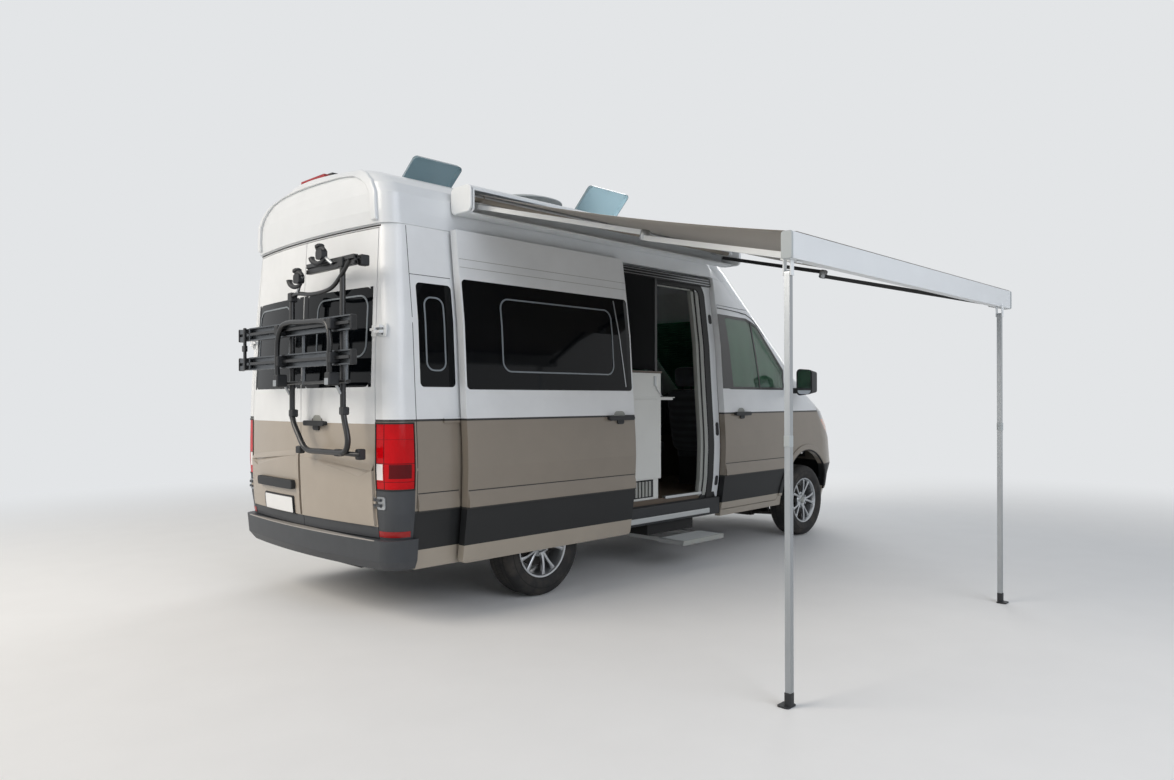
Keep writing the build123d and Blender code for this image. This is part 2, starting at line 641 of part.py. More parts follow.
# Satellite dish, folded face down on its turntable
DISH_RADIUS = 325
DISH_RIM_Z = 3045
DISH_RISE = 62
DISH_WALL = 6
DISH_PIVOT_X = DISH_X - 190
DISH_PIVOT_Z = 3000
with BuildPart() as dish_turntable:
    with BuildSketch(Plane.XY.offset(ROOF_CROWN + PLINTH_HEIGHT + SEAT_GAP)):
        with Locations((DISH_X, 0)):
            Circle(MOUNT_RADIUS)
    extrude(amount=45)
    with BuildSketch(Plane.XZ.offset(-60)):
        with BuildLine():
            Polyline(
                (DISH_X - 60, ROOF_CROWN + 50), (DISH_X + 20, ROOF_CROWN + 50),
                (DISH_X + 20, ROOF_CROWN + 76), (DISH_PIVOT_X + 20, DISH_PIVOT_Z + 18),
                (DISH_PIVOT_X - 20, DISH_PIVOT_Z + 10), (DISH_PIVOT_X - 20, DISH_PIVOT_Z - 20),
                close=True,
            )
        make_face()
    extrude(amount=120)
    with BuildSketch(Plane.XZ.offset(-80)):
        with Locations((DISH_PIVOT_X, DISH_PIVOT_Z)):
            Circle(9)
    extrude(amount=160)
DISH_CURVE = [(0, 1.0), (0.35, 0.88), (0.65, 0.58), (0.85, 0.28), (1.0, 0.0)]
with BuildPart() as satellite_dish:
    with BuildSketch(Plane.XZ):
        with BuildLine():
            upper = [(DISH_X + DISH_RADIUS * out, DISH_RIM_Z + DISH_RISE * up) for out, up in DISH_CURVE]
            lower = [(x, z - DISH_WALL) for x, z in reversed(upper)]
            Polyline(*upper, *lower, close=True)
        make_face()
    revolve(axis=Axis((DISH_X, 0, 0), (0, 0, 1)), revolution_arc=360)
    for side in (1, -1):
        with BuildSketch(Plane.XZ.offset(side * 71 - 5)):
            with BuildLine():
                Polyline(
                    (DISH_PIVOT_X - 16, DISH_PIVOT_Z - 14), (DISH_PIVOT_X + 16, DISH_PIVOT_Z - 14),
                    (DISH_X - 80, DISH_RIM_Z + DISH_RISE * 0.8), (DISH_PIVOT_X - 16, DISH_RIM_Z + 31),
                    close=True,
                )
            make_face()
        extrude(amount=10)
    with BuildSketch(Plane.XZ.offset(-90)):
        with Locations((DISH_PIVOT_X, DISH_PIVOT_Z)):
            Circle(9 + RUNNING_CLEARANCE)
    extrude(amount=180, mode=Mode.SUBTRACT)

# Floor with raised boxes over the rear wheels, and the front wheel housings and firewall
CAB_FLOOR_FRONT = 3125
LOAD_FLOOR_REAR = -1185
BOX_HALF_LENGTH = 475
BOX_INNER_Y = 590
BOX_TOP = 905
BOX_WALL = 20


def slab(form, low_x, high_x, low_z, high_z):
    """Part of a whole form between two X values and two heights."""
    with BuildPart() as piece:
        add(form)
        add(
            side_bar([(low_x, low_z), (high_x, low_z), (high_x, high_z), (low_x, high_z)], both=True),
            mode=Mode.INTERSECT,
        )
    return piece.part


FLOOR_BOTTOM = FLOOR_TOP - FLOOR_THICKNESS
floor_blank = slab(inner_form, LOAD_FLOOR_REAR, CAB_LINE, FLOOR_BOTTOM, FLOOR_TOP)
box_blank = slab(inner_form, -BOX_HALF_LENGTH, BOX_HALF_LENGTH, FLOOR_BOTTOM, BOX_TOP)
with BuildPart() as floor_pan:
    add(box_blank)
    add(frame_box(-600, 600, -BOX_INNER_Y, BOX_INNER_Y, 400, 1000), mode=Mode.SUBTRACT)
    add(floor_blank)
    add(slab(trim_form, CAB_LINE, CAB_FLOOR_FRONT, FLOOR_BOTTOM, FLOOR_TOP))
    for side in (1, -1):
        low_y = min(side * (BOX_INNER_Y + BOX_WALL), side * 1100)
        high_y = max(side * (BOX_INNER_Y + BOX_WALL), side * 1100)
        hollow = frame_box(
            BOX_WALL - BOX_HALF_LENGTH, BOX_HALF_LENGTH - BOX_WALL, low_y, high_y, 400, BOX_TOP - BOX_WALL
        )
        add(hollow, mode=Mode.SUBTRACT)
    add(portal_frame.part, mode=Mode.SUBTRACT)

RAIL_INNER_Y = 400
RAIL_OUTER_Y = 470
RAIL_BOTTOM = 420
RAIL_REAR = -1180
RAIL_FRONT = 4480
HOUSING_INNER_Y = 490
HOUSING_REAR = 3150
HOUSING_FRONT = 4140
HOUSING_TOP = 935
HOUSING_WALL = 20
FIREWALL = [
    (3125, 420), (HOUSING_REAR, 420), (HOUSING_REAR, 925), (3400, 1330), (3765, 1430), (3785, 1430),
    (3785, 1492), (3950, 1492), (3950, 1507), (3765, 1507), (3765, 1455), (3385, 1352), (3125, 940),
]
with BuildPart() as cowl_strip:
    add(slab(inner_form, 3460, 3960, 1480, 1508))
    add(side_bar(FIREWALL, both=True), mode=Mode.INTERSECT)
with BuildPart() as firewall_panels:
    add(trim_form)
    add(side_bar(FIREWALL, both=True), mode=Mode.INTERSECT)
    add(cowl_strip.part)
    for side in (1, -1):
        inner_y = side * HOUSING_INNER_Y
        outer_y = side * 870
        wall = frame_box(
            HOUSING_REAR, HOUSING_FRONT, min(inner_y, inner_y + side * HOUSING_WALL),
            max(inner_y, inner_y + side * HOUSING_WALL), 420, HOUSING_TOP,
        )
        lid_plate = frame_box(
            HOUSING_REAR, HOUSING_FRONT, min(inner_y, outer_y), max(inner_y, outer_y),
            HOUSING_TOP - HOUSING_WALL, HOUSING_TOP,
        )
        add(wall)
        add(lid_plate)
        low_y = min(side * RAIL_INNER_Y, side * RAIL_OUTER_Y)
        high_y = max(side * RAIL_INNER_Y, side * RAIL_OUTER_Y)
        rail_gap = frame_box(3000, 3400, low_y, high_y, 300, FLOOR_BOTTOM)
        add(rail_gap, mode=Mode.SUBTRACT)

with BuildPart() as floor_and_firewall:
    add(floor_pan.part)
    add(firewall_panels.part)

# Chassis rails, tanks and silencer under the floor
Tank = namedtuple("Tank", "low_x high_x low_y high_y low_z")
TANKS = [
    Tank(900, 1900, -RAIL_INNER_Y, RAIL_INNER_Y, 300),
    Tank(-1120, -420, -RAIL_INNER_Y, RAIL_INNER_Y, 285),
    Tank(2300, 2850, RAIL_OUTER_Y, 800, 300),
]
SILENCER_RADIUS = 95
JACK_PADS = [-1000, 2000]
JACK_PAD = 56
JACK_PAD_DROP = 12
with BuildPart() as underbody:
    for side in (1, -1):
        low_y = min(side * RAIL_INNER_Y, side * RAIL_OUTER_Y)
        high_y = max(side * RAIL_INNER_Y, side * RAIL_OUTER_Y)
        add(frame_box(RAIL_REAR, RAIL_FRONT, low_y, high_y, RAIL_BOTTOM, FLOOR_BOTTOM))
    for cross_x in (RAIL_REAR, 600, 2150, RAIL_FRONT - 60):
        add(frame_box(cross_x, cross_x + 60, -RAIL_OUTER_Y, RAIL_OUTER_Y, RAIL_BOTTOM + 20, FLOOR_BOTTOM))
    for tank in TANKS:
        add(frame_box(tank.low_x, tank.high_x, tank.low_y, tank.high_y, tank.low_z, FLOOR_BOTTOM))
    for pad_x in JACK_PADS:
        for pad_y in (RAIL_INNER_Y + RAIL_OUTER_Y) / 2, -(RAIL_INNER_Y + RAIL_OUTER_Y) / 2:
            add(
                frame_box(
                    pad_x - JACK_PAD / 2, pad_x + JACK_PAD / 2, pad_y - JACK_PAD / 2, pad_y + JACK_PAD / 2,
                    RAIL_BOTTOM - JACK_PAD_DROP, RAIL_BOTTOM,
                )
            )
    with BuildSketch(Plane.YZ.offset(700)):
        with Locations((600, FLOOR_BOTTOM - SILENCER_RADIUS)):
            Circle(SILENCER_RADIUS)
    extrude(amount=550)

# Rear axle beam on leaf springs, front subframe with its arms and struts
STUB_RADIUS = 32.5
WHEEL_Y = TRACK / 2
DISC_INNER = 30
DISC_THICKNESS = 40
STUB_END = WHEEL_Y + DISC_INNER + DISC_THICKNESS
SPRING_Y = 560
STUD_RADIUS = 12
KNUCKLE_LOW = 220
KNUCKLE_HIGH = 500
with BuildPart() as axles:
    with BuildSketch(Plane.XZ.offset(-KINGPIN_Y)):
        with Locations((0, AXLE_HEIGHT)):
            Circle(55)
    extrude(amount=2 * KINGPIN_Y)
    with BuildSketch(Plane.XZ.offset(-STUB_END)):
        with Locations((0, AXLE_HEIGHT)):
            Circle(STUB_RADIUS)
    extrude(amount=2 * STUB_END)
    for side in (1, -1):
        with BuildSketch(Plane.XZ.offset(side * SPRING_Y - 30)):
            with BuildLine():
                Polyline(
                    (-640, 440), (-620, 470), (-300, 385), (0, 320), (300, 385), (620, 470), (640, 440),
                    (300, 355), (0, 288), (-300, 355), close=True,
                )
            make_face()
        extrude(amount=60)
        for end_x in (-630, 630):
            add(
                frame_box(
                    end_x - 30, end_x + 30, side * SPRING_Y - 35, side * SPRING_Y + 35, 435,
                    FLOOR_BOTTOM,
                )
            )
    add(frame_box(FRONT_AXLE - 190, FRONT_AXLE + 190, -RAIL_INNER_Y, RAIL_INNER_Y, 170, 250))
    for side in (1, -1):
        for post_x in (FRONT_AXLE - 150, FRONT_AXLE + 150):
            low_y = min(side * 370, side * 430)
            add(frame_box(post_x - 30, post_x + 30, low_y, low_y + 60, 170, RAIL_BOTTOM))
        low_y = min(side * 360, side * (KINGPIN_Y + 30))
        high_y = max(side * 360, side * (KINGPIN_Y + 30))
        with BuildSketch(Plane.XY.offset(185)):
            with BuildLine():
                Polyline(
                    (FRONT_AXLE - 170, side * 380), (FRONT_AXLE + 170, side * 380),
                    (FRONT_AXLE + 34, side * (KINGPIN_Y + 25)), (FRONT_AXLE - 34, side * (KINGPIN_Y + 25)),
                    close=True,
                )
            make_face()
        extrude(amount=25)
        with BuildSketch(Plane.XY.offset(185)):
            with Locations((FRONT_AXLE, side * KINGPIN_Y)):
                Circle(STUD_RADIUS)
        extrude(amount=80)
        with BuildSketch(Plane.XY.offset(KNUCKLE_HIGH - 45)):
            with Locations((FRONT_AXLE, side * KINGPIN_Y)):
                Circle(STUD_RADIUS)
        extrude(amount=80)
        with BuildSketch(Plane.XY.offset(KNUCKLE_HIGH + 10)):
            with Locations((FRONT_AXLE, side * KINGPIN_Y)):
                Circle(28)
        extrude(amount=HOUSING_TOP - HOUSING_WALL - KNUCKLE_HIGH - 10)

with BuildPart() as knuckle_left:
    add(
        frame_box(
            FRONT_AXLE - 48, FRONT_AXLE + 48, KINGPIN_Y - 33, KINGPIN_Y + 28, KNUCKLE_LOW, KNUCKLE_HIGH
        )
    )
    with BuildSketch(Plane.XZ.offset(-KINGPIN_Y)):
        with Locations((FRONT_AXLE, AXLE_HEIGHT)):
            Circle(STUB_RADIUS)
    extrude(amount=-(STUB_END - KINGPIN_Y))
    with BuildSketch(Plane.XY.offset(KNUCKLE_LOW - 10)):
        with Locations((FRONT_AXLE, KINGPIN_Y)):
            Circle(STUD_RADIUS + RUNNING_CLEARANCE)
    extrude(amount=65, mode=Mode.SUBTRACT)
    with BuildSketch(Plane.XY.offset(KNUCKLE_HIGH - 55)):
        with Locations((FRONT_AXLE, KINGPIN_Y)):
            Circle(STUD_RADIUS + RUNNING_CLEARANCE)
    extrude(amount=65, mode=Mode.SUBTRACT)
with BuildPart() as knuckle_right:
    mirror(knuckle_left.part, about=Plane.XZ)

with BuildPart() as engine_block:
    add(frame_box(3560, 4250, -RAIL_INNER_Y, RAIL_INNER_Y, RAIL_BOTTOM + 10, 1000))
    fillet(engine_block.edges().filter_by(Axis.Y), 60)

# Wheels: hollow tyres on alloy rims with five pairs of spokes
RIM_RADIUS = 228
RIM_WALL = 8
SPOKE_PAIRS = 5
BOLT_CIRCLE = 120
BOLT_HOLE_RADIUS = 7.5
half_tyre = TYRE_WIDTH / 2


def tyre_section(middle_y, x):
    """Half plane outline of the tyre, wall and tread, above the axle."""
    base = AXLE_HEIGHT
    with BuildSketch(Plane.YZ.offset(x)) as section:
        with BuildLine():
            Polyline(
                (middle_y - half_tyre + 22, base + RIM_RADIUS),
                (middle_y - half_tyre, base + RIM_RADIUS + 40),
                (middle_y - half_tyre + 2, base + RIM_RADIUS + 72),
                (middle_y - half_tyre + 22, base + WHEEL_RADIUS - 10),
                (middle_y - half_tyre + 50, base + WHEEL_RADIUS),
                (middle_y + half_tyre - 50, base + WHEEL_RADIUS),
                (middle_y + half_tyre - 22, base + WHEEL_RADIUS - 10),
                (middle_y + half_tyre - 2, base + RIM_RADIUS + 72),
                (middle_y + half_tyre, base + RIM_RADIUS + 40),
                (middle_y + half_tyre - 22, base + RIM_RADIUS),
                close=True,
            )
        make_face()
    return section.sketch


Corner = namedtuple("Corner", "name x side")
WHEELS = [
    Corner("front_left", FRONT_AXLE, 1),
    Corner("front_right", FRONT_AXLE, -1),
    Corner("rear_left", 0, 1),
    Corner("rear_right", 0, -1),
]
tyres = {}
rims = {}
for wheel in WHEELS:
    middle_y = wheel.side * WHEEL_Y
    axle_line = Axis((wheel.x, 0, AXLE_HEIGHT), (0, 1, 0))
    with BuildPart() as tyre:
        add(tyre_section(middle_y, wheel.x))
        revolve(axis=axle_line, revolution_arc=360)
    tyres[wheel.name] = tyre
    out = wheel.side
    face_y = middle_y + out * (DISC_INNER + DISC_THICKNESS)
    with BuildPart() as rim:
        with BuildSketch(Plane.YZ.offset(wheel.x)):
            with BuildLine():
                Polyline(
                    (middle_y - half_tyre + 22, AXLE_HEIGHT + RIM_RADIUS),
                    (middle_y + half_tyre - 22, AXLE_HEIGHT + RIM_RADIUS),
                    (middle_y + half_tyre - 22, AXLE_HEIGHT + RIM_RADIUS - RIM_WALL),
                    (middle_y, AXLE_HEIGHT + RIM_RADIUS - 3 * RIM_WALL),
                    (middle_y - half_tyre + 22, AXLE_HEIGHT + RIM_RADIUS - RIM_WALL),
                    close=True,
                )
            make_face()
        revolve(axis=axle_line, revolution_arc=360)
        wheel_plane = Plane(
            origin=(wheel.x, middle_y + out * DISC_INNER, AXLE_HEIGHT), x_dir=(1, 0, 0), z_dir=(0, out, 0)
        )
        with BuildSketch(wheel_plane):
            Circle(84)
            for turn in range(SPOKE_PAIRS):
                for lean in (-13, 13):
                    with Locations(Location((0, 0, 0), (0, 0, 1), 360 / SPOKE_PAIRS * turn + lean)):
                        with Locations((138, 0)):
                            Rectangle(150, 26)
        extrude(amount=DISC_THICKNESS)
        with BuildSketch(wheel_plane):
            Circle(STUB_RADIUS + RUNNING_CLEARANCE)
            with PolarLocations(BOLT_CIRCLE / 2, 5):
                Circle(BOLT_HOLE_RADIUS)
        extrude(amount=DISC_THICKNESS + 5, mode=Mode.SUBTRACT)
    rims[wheel.name] = rim

# Cab: seats and dashboard with its steering wheel
SEAT_Y = 470
SEAT_WIDTH = 500
# back, front, half of width, bottom, top: pedestal, headrest, headrest stem
SEAT_BLOCKS = [
    (2400, 2800, 190, FLOOR_TOP, 840),
    (2270, 2350, 130, 1510, 1700),
    (2305, 2320, 60, 1480, 1520),
]
with BuildPart() as cab_seats:
    for side in (1, -1):
        with BuildSketch(Plane.XZ.offset(side * SEAT_Y - SEAT_WIDTH / 2)):
            with BuildLine():
                FilletPolyline(
                    (2880, 830), (2880, 930), (2480, 900), (2370, 1500), (2280, 1500), (2330, 830),
                    close=True, radius=30,
                )
            make_face()
        extrude(amount=SEAT_WIDTH)
        for back, front, half, low, high in SEAT_BLOCKS:
            add(frame_box(back, front, side * SEAT_Y - half, side * SEAT_Y + half, low, high))

DASH = [
    (3000, 1130), (3010, 1200), (3110, 1300), (3330, 1400), (3700, 1480), (3762, 1480), (3762, 1458),
    (3387, 1356), (3170, 1004), (3060, 1000),
]
WHEEL_TILT = 35
STEERING_WHEEL_RADIUS = 195
with BuildPart() as dashboard:
    add(trim_form)
    add(side_bar(DASH, both=True), mode=Mode.INTERSECT)
    tilt = math.radians(WHEEL_TILT)
    wheel_face = Plane(
        origin=(2900, SEAT_Y, 1180), x_dir=(0, 1, 0), z_dir=(math.cos(tilt), 0, -math.sin(tilt))
    )
    with BuildSketch(wheel_face):
        Circle(STEERING_WHEEL_RADIUS)
        Circle(STEERING_WHEEL_RADIUS - 26, mode=Mode.SUBTRACT)
        Rectangle(2 * STEERING_WHEEL_RADIUS - 20, 40)
        Circle(62)
    extrude(amount=26)
    with BuildSketch(wheel_face):
        Circle(38)
    extrude(amount=260)
    add(firewall_panels.part, mode=Mode.SUBTRACT)

# Living space: kitchen unit in the doorway, bed over the rear, washroom and lockers
KITCHEN_REAR = 940
KITCHEN_FRONT = 1330
KITCHEN_FACE = -945
KITCHEN_BACK = -420
KITCHEN_TOP = 1610
with BuildPart() as kitchen_unit:
    add(frame_box(KITCHEN_REAR, KITCHEN_FRONT, KITCHEN_FACE, KITCHEN_BACK, 740, KITCHEN_TOP))
    add(frame_box(KITCHEN_REAR, KITCHEN_FRONT, KITCHEN_FACE + 30, KITCHEN_BACK, FLOOR_TOP, 740))
    add(frame_box(KITCHEN_FRONT, KITCHEN_FRONT + 180, KITCHEN_FACE + 15, KITCHEN_BACK - 150, 1385, 1401))
    add(
        frame_box(
            KITCHEN_REAR + 60, KITCHEN_FRONT - 60, KITCHEN_FACE + 20, KITCHEN_FACE + 120, 1430, 1580
        ),
        mode=Mode.SUBTRACT,
    )

BED_REAR = -1155
BED_FRONT = 425
with BuildPart() as rear_bed:
    add(slab(inner_form, BED_REAR, BED_FRONT, 965, 1000))
    add(slab(trim_form, BED_REAR + 10, BED_FRONT - 10, 1000, 1120))
    add(portal_frame.part, mode=Mode.SUBTRACT)

with BuildPart() as cupboards:
    add(slab(inner_form, 500, 1250, FLOOR_TOP, 2440))
    add(frame_box(400, 1300, -1100, 250, 400, 2500), mode=Mode.SUBTRACT)
with BuildPart() as lockers:
    add(slab(inner_form, -1130, 2100, 2100, 2440))
    add(frame_box(-1200, 2200, -1100, 560, 2000, 2500), mode=Mode.SUBTRACT)
    add(cupboards.part)

# Awning: an open case on the roof side, two folding arms, a lead rail and two legs.
# The arms work in a plane that falls away from the van.
CASE_REAR = -740
CASE_FRONT = 2250
SHOULDER_Y = -1045
SHOULDER_Z = 2620
ARM_FALL = 0.2494
ARM_LENGTH = 1200
ARM_WIDTH = 42
ARM_THICKNESS = 28
PIN_RADIUS = 10
PLATE = 8
SHOULDER_PLATE = 166
SHOULDER_REAR_X = -630
SHOULDER_FRONT_X = 2100
WRIST_REACH = 2316
RAIL_REAR_X = -720
RAIL_FRONT_X = 2200
RAIL_DEPTH = 50
RAIL_TOP = 2135
RAIL_LOW = 2015
RAIL_NEAR_Y = -3320
RAIL_FAR_Y = RAIL_NEAR_Y - RAIL_DEPTH
FABRIC_THICKNESS = 3
FABRIC_REAR = -690
FABRIC_FRONT = 2190
ROLLER_RADIUS = 22
ROLLER_ALONG = -50
fall = math.atan(ARM_FALL)
edge_along = (SHOULDER_Y - RAIL_FAR_Y) * math.cos(fall) + (SHOULDER_Z - RAIL_TOP) * math.sin(fall)
edge_level = (SHOULDER_Y - RAIL_FAR_Y) * math.sin(fall) + (RAIL_TOP - SHOULDER_Z) * math.cos(fall)
down = (0, -math.cos(fall), -math.sin(fall))
normal = (0, -math.sin(fall), math.cos(fall))
half_reach = WRIST_REACH / 2
rest_angle = math.acos(half_reach / ARM_LENGTH)
elbow_offset = ARM_LENGTH * math.sin(rest_angle)


def arm_plane(x, along, level):
    """Plane of the arms: x across, y back up to the van, level above the arms' middle."""
    origin = (
        x,
        SHOULDER_Y + along * down[1] + level * normal[1],
        SHOULDER_Z + along * down[2] + level * normal[2],
    )
    return Plane(origin=origin, x_dir=(1, 0, 0), z_dir=normal)


def link(start, end, level, hole_at_end):
    """Flat arm with round ends between two pivots in the plane of the arms."""
    middle = ((start[0] + end[0]) / 2, (start[1] + end[1]) / 2)
    turn = math.degrees(math.atan2(end[1] - start[1], end[0] - start[0]))
    plane = arm_plane(0, 0, level)
    with BuildPart() as arm:
        with BuildSketch(plane):
            with Locations(Location((middle[0], middle[1], 0), (0, 0, 1), turn)):
                SlotCenterToCenter(ARM_LENGTH, ARM_WIDTH)
        extrude(amount=ARM_THICKNESS)
        with BuildSketch(plane):
            for point in hole_at_end:
                with Locations(point):
                    Circle(PIN_RADIUS + RUNNING_CLEARANCE)
        extrude(amount=ARM_THICKNESS, mode=Mode.SUBTRACT)
    return arm.part


ROOF_BRACKETS = [-500, 750, 2000]
roller = arm_plane(0, ROLLER_ALONG, edge_level - ROLLER_RADIUS).origin
with BuildPart() as awning_case:
    with BuildSketch(Plane.YZ.offset(CASE_REAR)):
        with BuildLine():
            Polyline(
                (-905, 2588), (-905, 2754), (-1078, 2754), (-1102, 2736), (-1102, 2722), (-1090, 2722),
                (-1090, 2731), (-1072, 2742), (-917, 2742), (-917, 2600), (-1025, 2600), (-1025, 2588),
                close=True,
            )
        make_face()
    extrude(amount=CASE_FRONT - CASE_REAR)
    for cap_x in (CASE_REAR, CASE_FRONT - 14):
        with BuildSketch(Plane.YZ.offset(cap_x)):
            with BuildLine():
                FilletPolyline(
                    (-905, 2585), (-905, 2756), (-1080, 2756), (-1108, 2730), (-1108, 2600), (-1090, 2585),
                    close=True, radius=10,
                )
            make_face()
        extrude(amount=14)
    with BuildSketch(Plane.YZ.offset(CASE_REAR + 14)):
        with Locations((roller.Y, roller.Z)):
            Circle(ROLLER_RADIUS)
    extrude(amount=CASE_FRONT - CASE_REAR - 28)
    for shoulder_x in (SHOULDER_REAR_X, SHOULDER_FRONT_X):
        with BuildSketch(arm_plane(shoulder_x, 0, ARM_THICKNESS + 3 * WASHER_GAP)):
            with Locations((0, SHOULDER_PLATE / 2 - 20)):
                Rectangle(46, SHOULDER_PLATE)
        extrude(amount=PLATE)
        with BuildSketch(arm_plane(shoulder_x, 0, WASHER_GAP)):
            Circle(PIN_RADIUS)
        extrude(amount=ARM_THICKNESS + 3 * WASHER_GAP)
    for bracket_x in ROOF_BRACKETS:
        add(frame_box(bracket_x - 60, bracket_x + 60, -905, -840, 2600, 2735))
    add(roof_outer, mode=Mode.SUBTRACT)

Fold = namedtuple("Fold", "name shoulder_x inward")
FOLDS = [Fold("rear", SHOULDER_REAR_X, 1), Fold("front", SHOULDER_FRONT_X, -1)]
upper_arms = {}
forearms = {}
for fold in FOLDS:
    shoulder = (fold.shoulder_x, 0)
    elbow = (fold.shoulder_x + fold.inward * elbow_offset, -half_reach)
    wrist = (fold.shoulder_x, -WRIST_REACH)
    with BuildPart() as upper_arm:
        add(link(shoulder, elbow, WASHER_GAP, [shoulder]))
        with BuildSketch(arm_plane(0, 0, -WASHER_GAP - ARM_THICKNESS)):
            with Locations(elbow):
                Circle(PIN_RADIUS)
        extrude(amount=ARM_THICKNESS + 3 * WASHER_GAP)
    with BuildPart() as forearm:
        add(link(elbow, wrist, -WASHER_GAP - ARM_THICKNESS, [elbow, wrist]))
    upper_arms[fold.name] = upper_arm
    forearms[fold.name] = forearm

LEG_WIDTH = 28
LEG_PIVOT_Z = 1955
Leg = namedtuple("Leg", "name x y inward")
LEGS = [Leg("rear", -690, -3327, 1), Leg("front", 2000, -3363, -1)]
EAR_GAP = 2
EAR = 5
with BuildPart() as awning_rail:
    with BuildSketch(Plane.YZ.offset(RAIL_REAR_X)):
        with BuildLine():
            FilletPolyline(
                (RAIL_NEAR_Y, RAIL_LOW), (RAIL_NEAR_Y, RAIL_TOP - 12), (RAIL_NEAR_Y - 12, RAIL_TOP - 3),
                (RAIL_FAR_Y, RAIL_TOP), (RAIL_FAR_Y, RAIL_LOW), close=True, radius=1,
            )
        make_face()
    extrude(amount=RAIL_FRONT_X - RAIL_REAR_X)
    for fold in FOLDS:
        with BuildSketch(arm_plane(fold.shoulder_x, WRIST_REACH, -ARM_THICKNESS - 3 * WASHER_GAP - PLATE)):
            with Locations((0, -25)):
                Rectangle(46, 90)
        extrude(amount=PLATE)
        with BuildSketch(arm_plane(fold.shoulder_x, WRIST_REACH, -ARM_THICKNESS - 3 * WASHER_GAP)):
            Circle(PIN_RADIUS)
        extrude(amount=ARM_THICKNESS + 2 * WASHER_GAP)
    for leg in LEGS:
        for side in (1, -1):
            near = leg.y + side * (LEG_WIDTH / 2 + EAR_GAP)
            far = near + side * EAR
            add(
                frame_box(
                    leg.x - 14, leg.x + 14, min(near, far), max(near, far), LEG_PIVOT_Z - 12, RAIL_LOW + 5
                )
            )
        with BuildSketch(Plane.XZ.offset(-leg.y - LEG_WIDTH / 2 - EAR_GAP)):
            with Locations((leg.x, LEG_PIVOT_Z)):
                Circle(6)
        extrude(amount=LEG_WIDTH + 2 * EAR_GAP)

legs = {}
for leg in LEGS:
    with BuildPart() as awning_leg:
        add(
            frame_box(
                leg.x - LEG_WIDTH / 2, leg.x + LEG_WIDTH / 2, leg.y - LEG_WIDTH / 2, leg.y + LEG_WIDTH / 2,
                0, LEG_PIVOT_Z,
            )
        )
        with BuildSketch(Plane.XZ.offset(-leg.y - LEG_WIDTH / 2)):
            with Locations((leg.x, LEG_PIVOT_Z)):
                Circle(LEG_WIDTH / 2)
        extrude(amount=LEG_WIDTH)
        with BuildSketch(Plane.XZ.offset(-leg.y - LEG_WIDTH / 2)):
            with Locations((leg.x, LEG_PIVOT_Z)):
                Circle(6 + RUNNING_CLEARANCE)
        extrude(amount=LEG_WIDTH, mode=Mode.SUBTRACT)
    legs[leg.name] = awning_leg

# Cloth from the roller in the case down to the rail's outer edge
with BuildPart() as awning_fabric:
    with BuildSketch(arm_plane(0, 0, edge_level + SEAT_GAP)):
        with Locations(((FABRIC_REAR + FABRIC_FRONT) / 2, -(edge_along + ROLLER_ALONG) / 2)):
            Rectangle(FABRIC_FRONT - FABRIC_REAR, edge_along - ROLLER_ALONG)
    extrude(amount=FABRIC_THICKNESS)

# Cycle carrier on the right rear door, with its platform folded up
CARRIER_X = REAR_FACE - 97
CARRIER_TUBE = 14
PLATFORM_X = CARRIER_X - 58
PLATFORM_PIVOT_Z = 1500
PLATFORM_TUBE = 12
LEFT_POST_Y = -90
RIGHT_POST_Y = -740
TOP_BAR_Z = 2225
LOW_BAR_Z = 1070


def bent_tube(points, radii, tube_radius):
    """Round tube along straight runs joined by arcs."""
    with BuildPart() as tube:
        with BuildLine() as route:
            FilletPolyline(*points, radius=radii)
        start = route.line @ 0
        heading = route.line % 0
        with BuildSketch(Plane(origin=start, z_dir=heading)):
            Circle(tube_radius)
        sweep(path=route.line)
    return tube.part


HOOP_LEFT_Y = -350
HOOP_RIGHT_Y = -870
with BuildPart() as carrier_frame:
    add(
        bent_tube(
            [
                (CARRIER_X, LEFT_POST_Y, TOP_BAR_Z), (CARRIER_X, LEFT_POST_Y, 1260),
                (CARRIER_X, LEFT_POST_Y - 170, LOW_BAR_Z), (CARRIER_X, RIGHT_POST_Y - 70, LOW_BAR_Z),
            ],
            110, CARRIER_TUBE,
        )
    )
    with BuildSketch(Plane.XY.offset(LOW_BAR_Z)):
        with Locations((CARRIER_X, RIGHT_POST_Y)):
            Circle(CARRIER_TUBE - 1)
    extrude(amount=TOP_BAR_Z - LOW_BAR_Z)
    for bar_z, low_y, high_y, radius in (
        (TOP_BAR_Z, -880, LEFT_POST_Y + 30, CARRIER_TUBE + 1),
        (PLATFORM_PIVOT_Z, -905, LEFT_POST_Y, PLATFORM_TUBE),
    ):
        with BuildSketch(Plane.XZ.offset(-high_y)):
            with Locations((CARRIER_X, bar_z)):
                Circle(radius)
        extrude(amount=high_y - low_y)
    for foot_y in (LEFT_POST_Y, RIGHT_POST_Y):
        for foot_z in (1330, 2150):
            with BuildSketch(Plane.YZ.offset(CARRIER_X)):
                with Locations((foot_y, foot_z)):
                    Circle(11)
            extrude(amount=180)
    for leg_y in (HOOP_LEFT_Y, HOOP_RIGHT_Y):
        for side in (1, -1):
            near = leg_y + side * (PLATFORM_TUBE + EAR_GAP)
            far = near + side * PLATE
            add(
                frame_box(
                    PLATFORM_X - 14, CARRIER_X, min(near, far), max(near, far),
                    PLATFORM_PIVOT_Z - 14, PLATFORM_PIVOT_Z + 14,
                )
            )
        with BuildSketch(Plane.XZ.offset(-leg_y - PLATFORM_TUBE - EAR_GAP)):
            with Locations((PLATFORM_X, PLATFORM_PIVOT_Z)):
                Circle(6)
        extrude(amount=2 * (PLATFORM_TUBE + EAR_GAP))
    add(outer_form, mode=Mode.SUBTRACT)

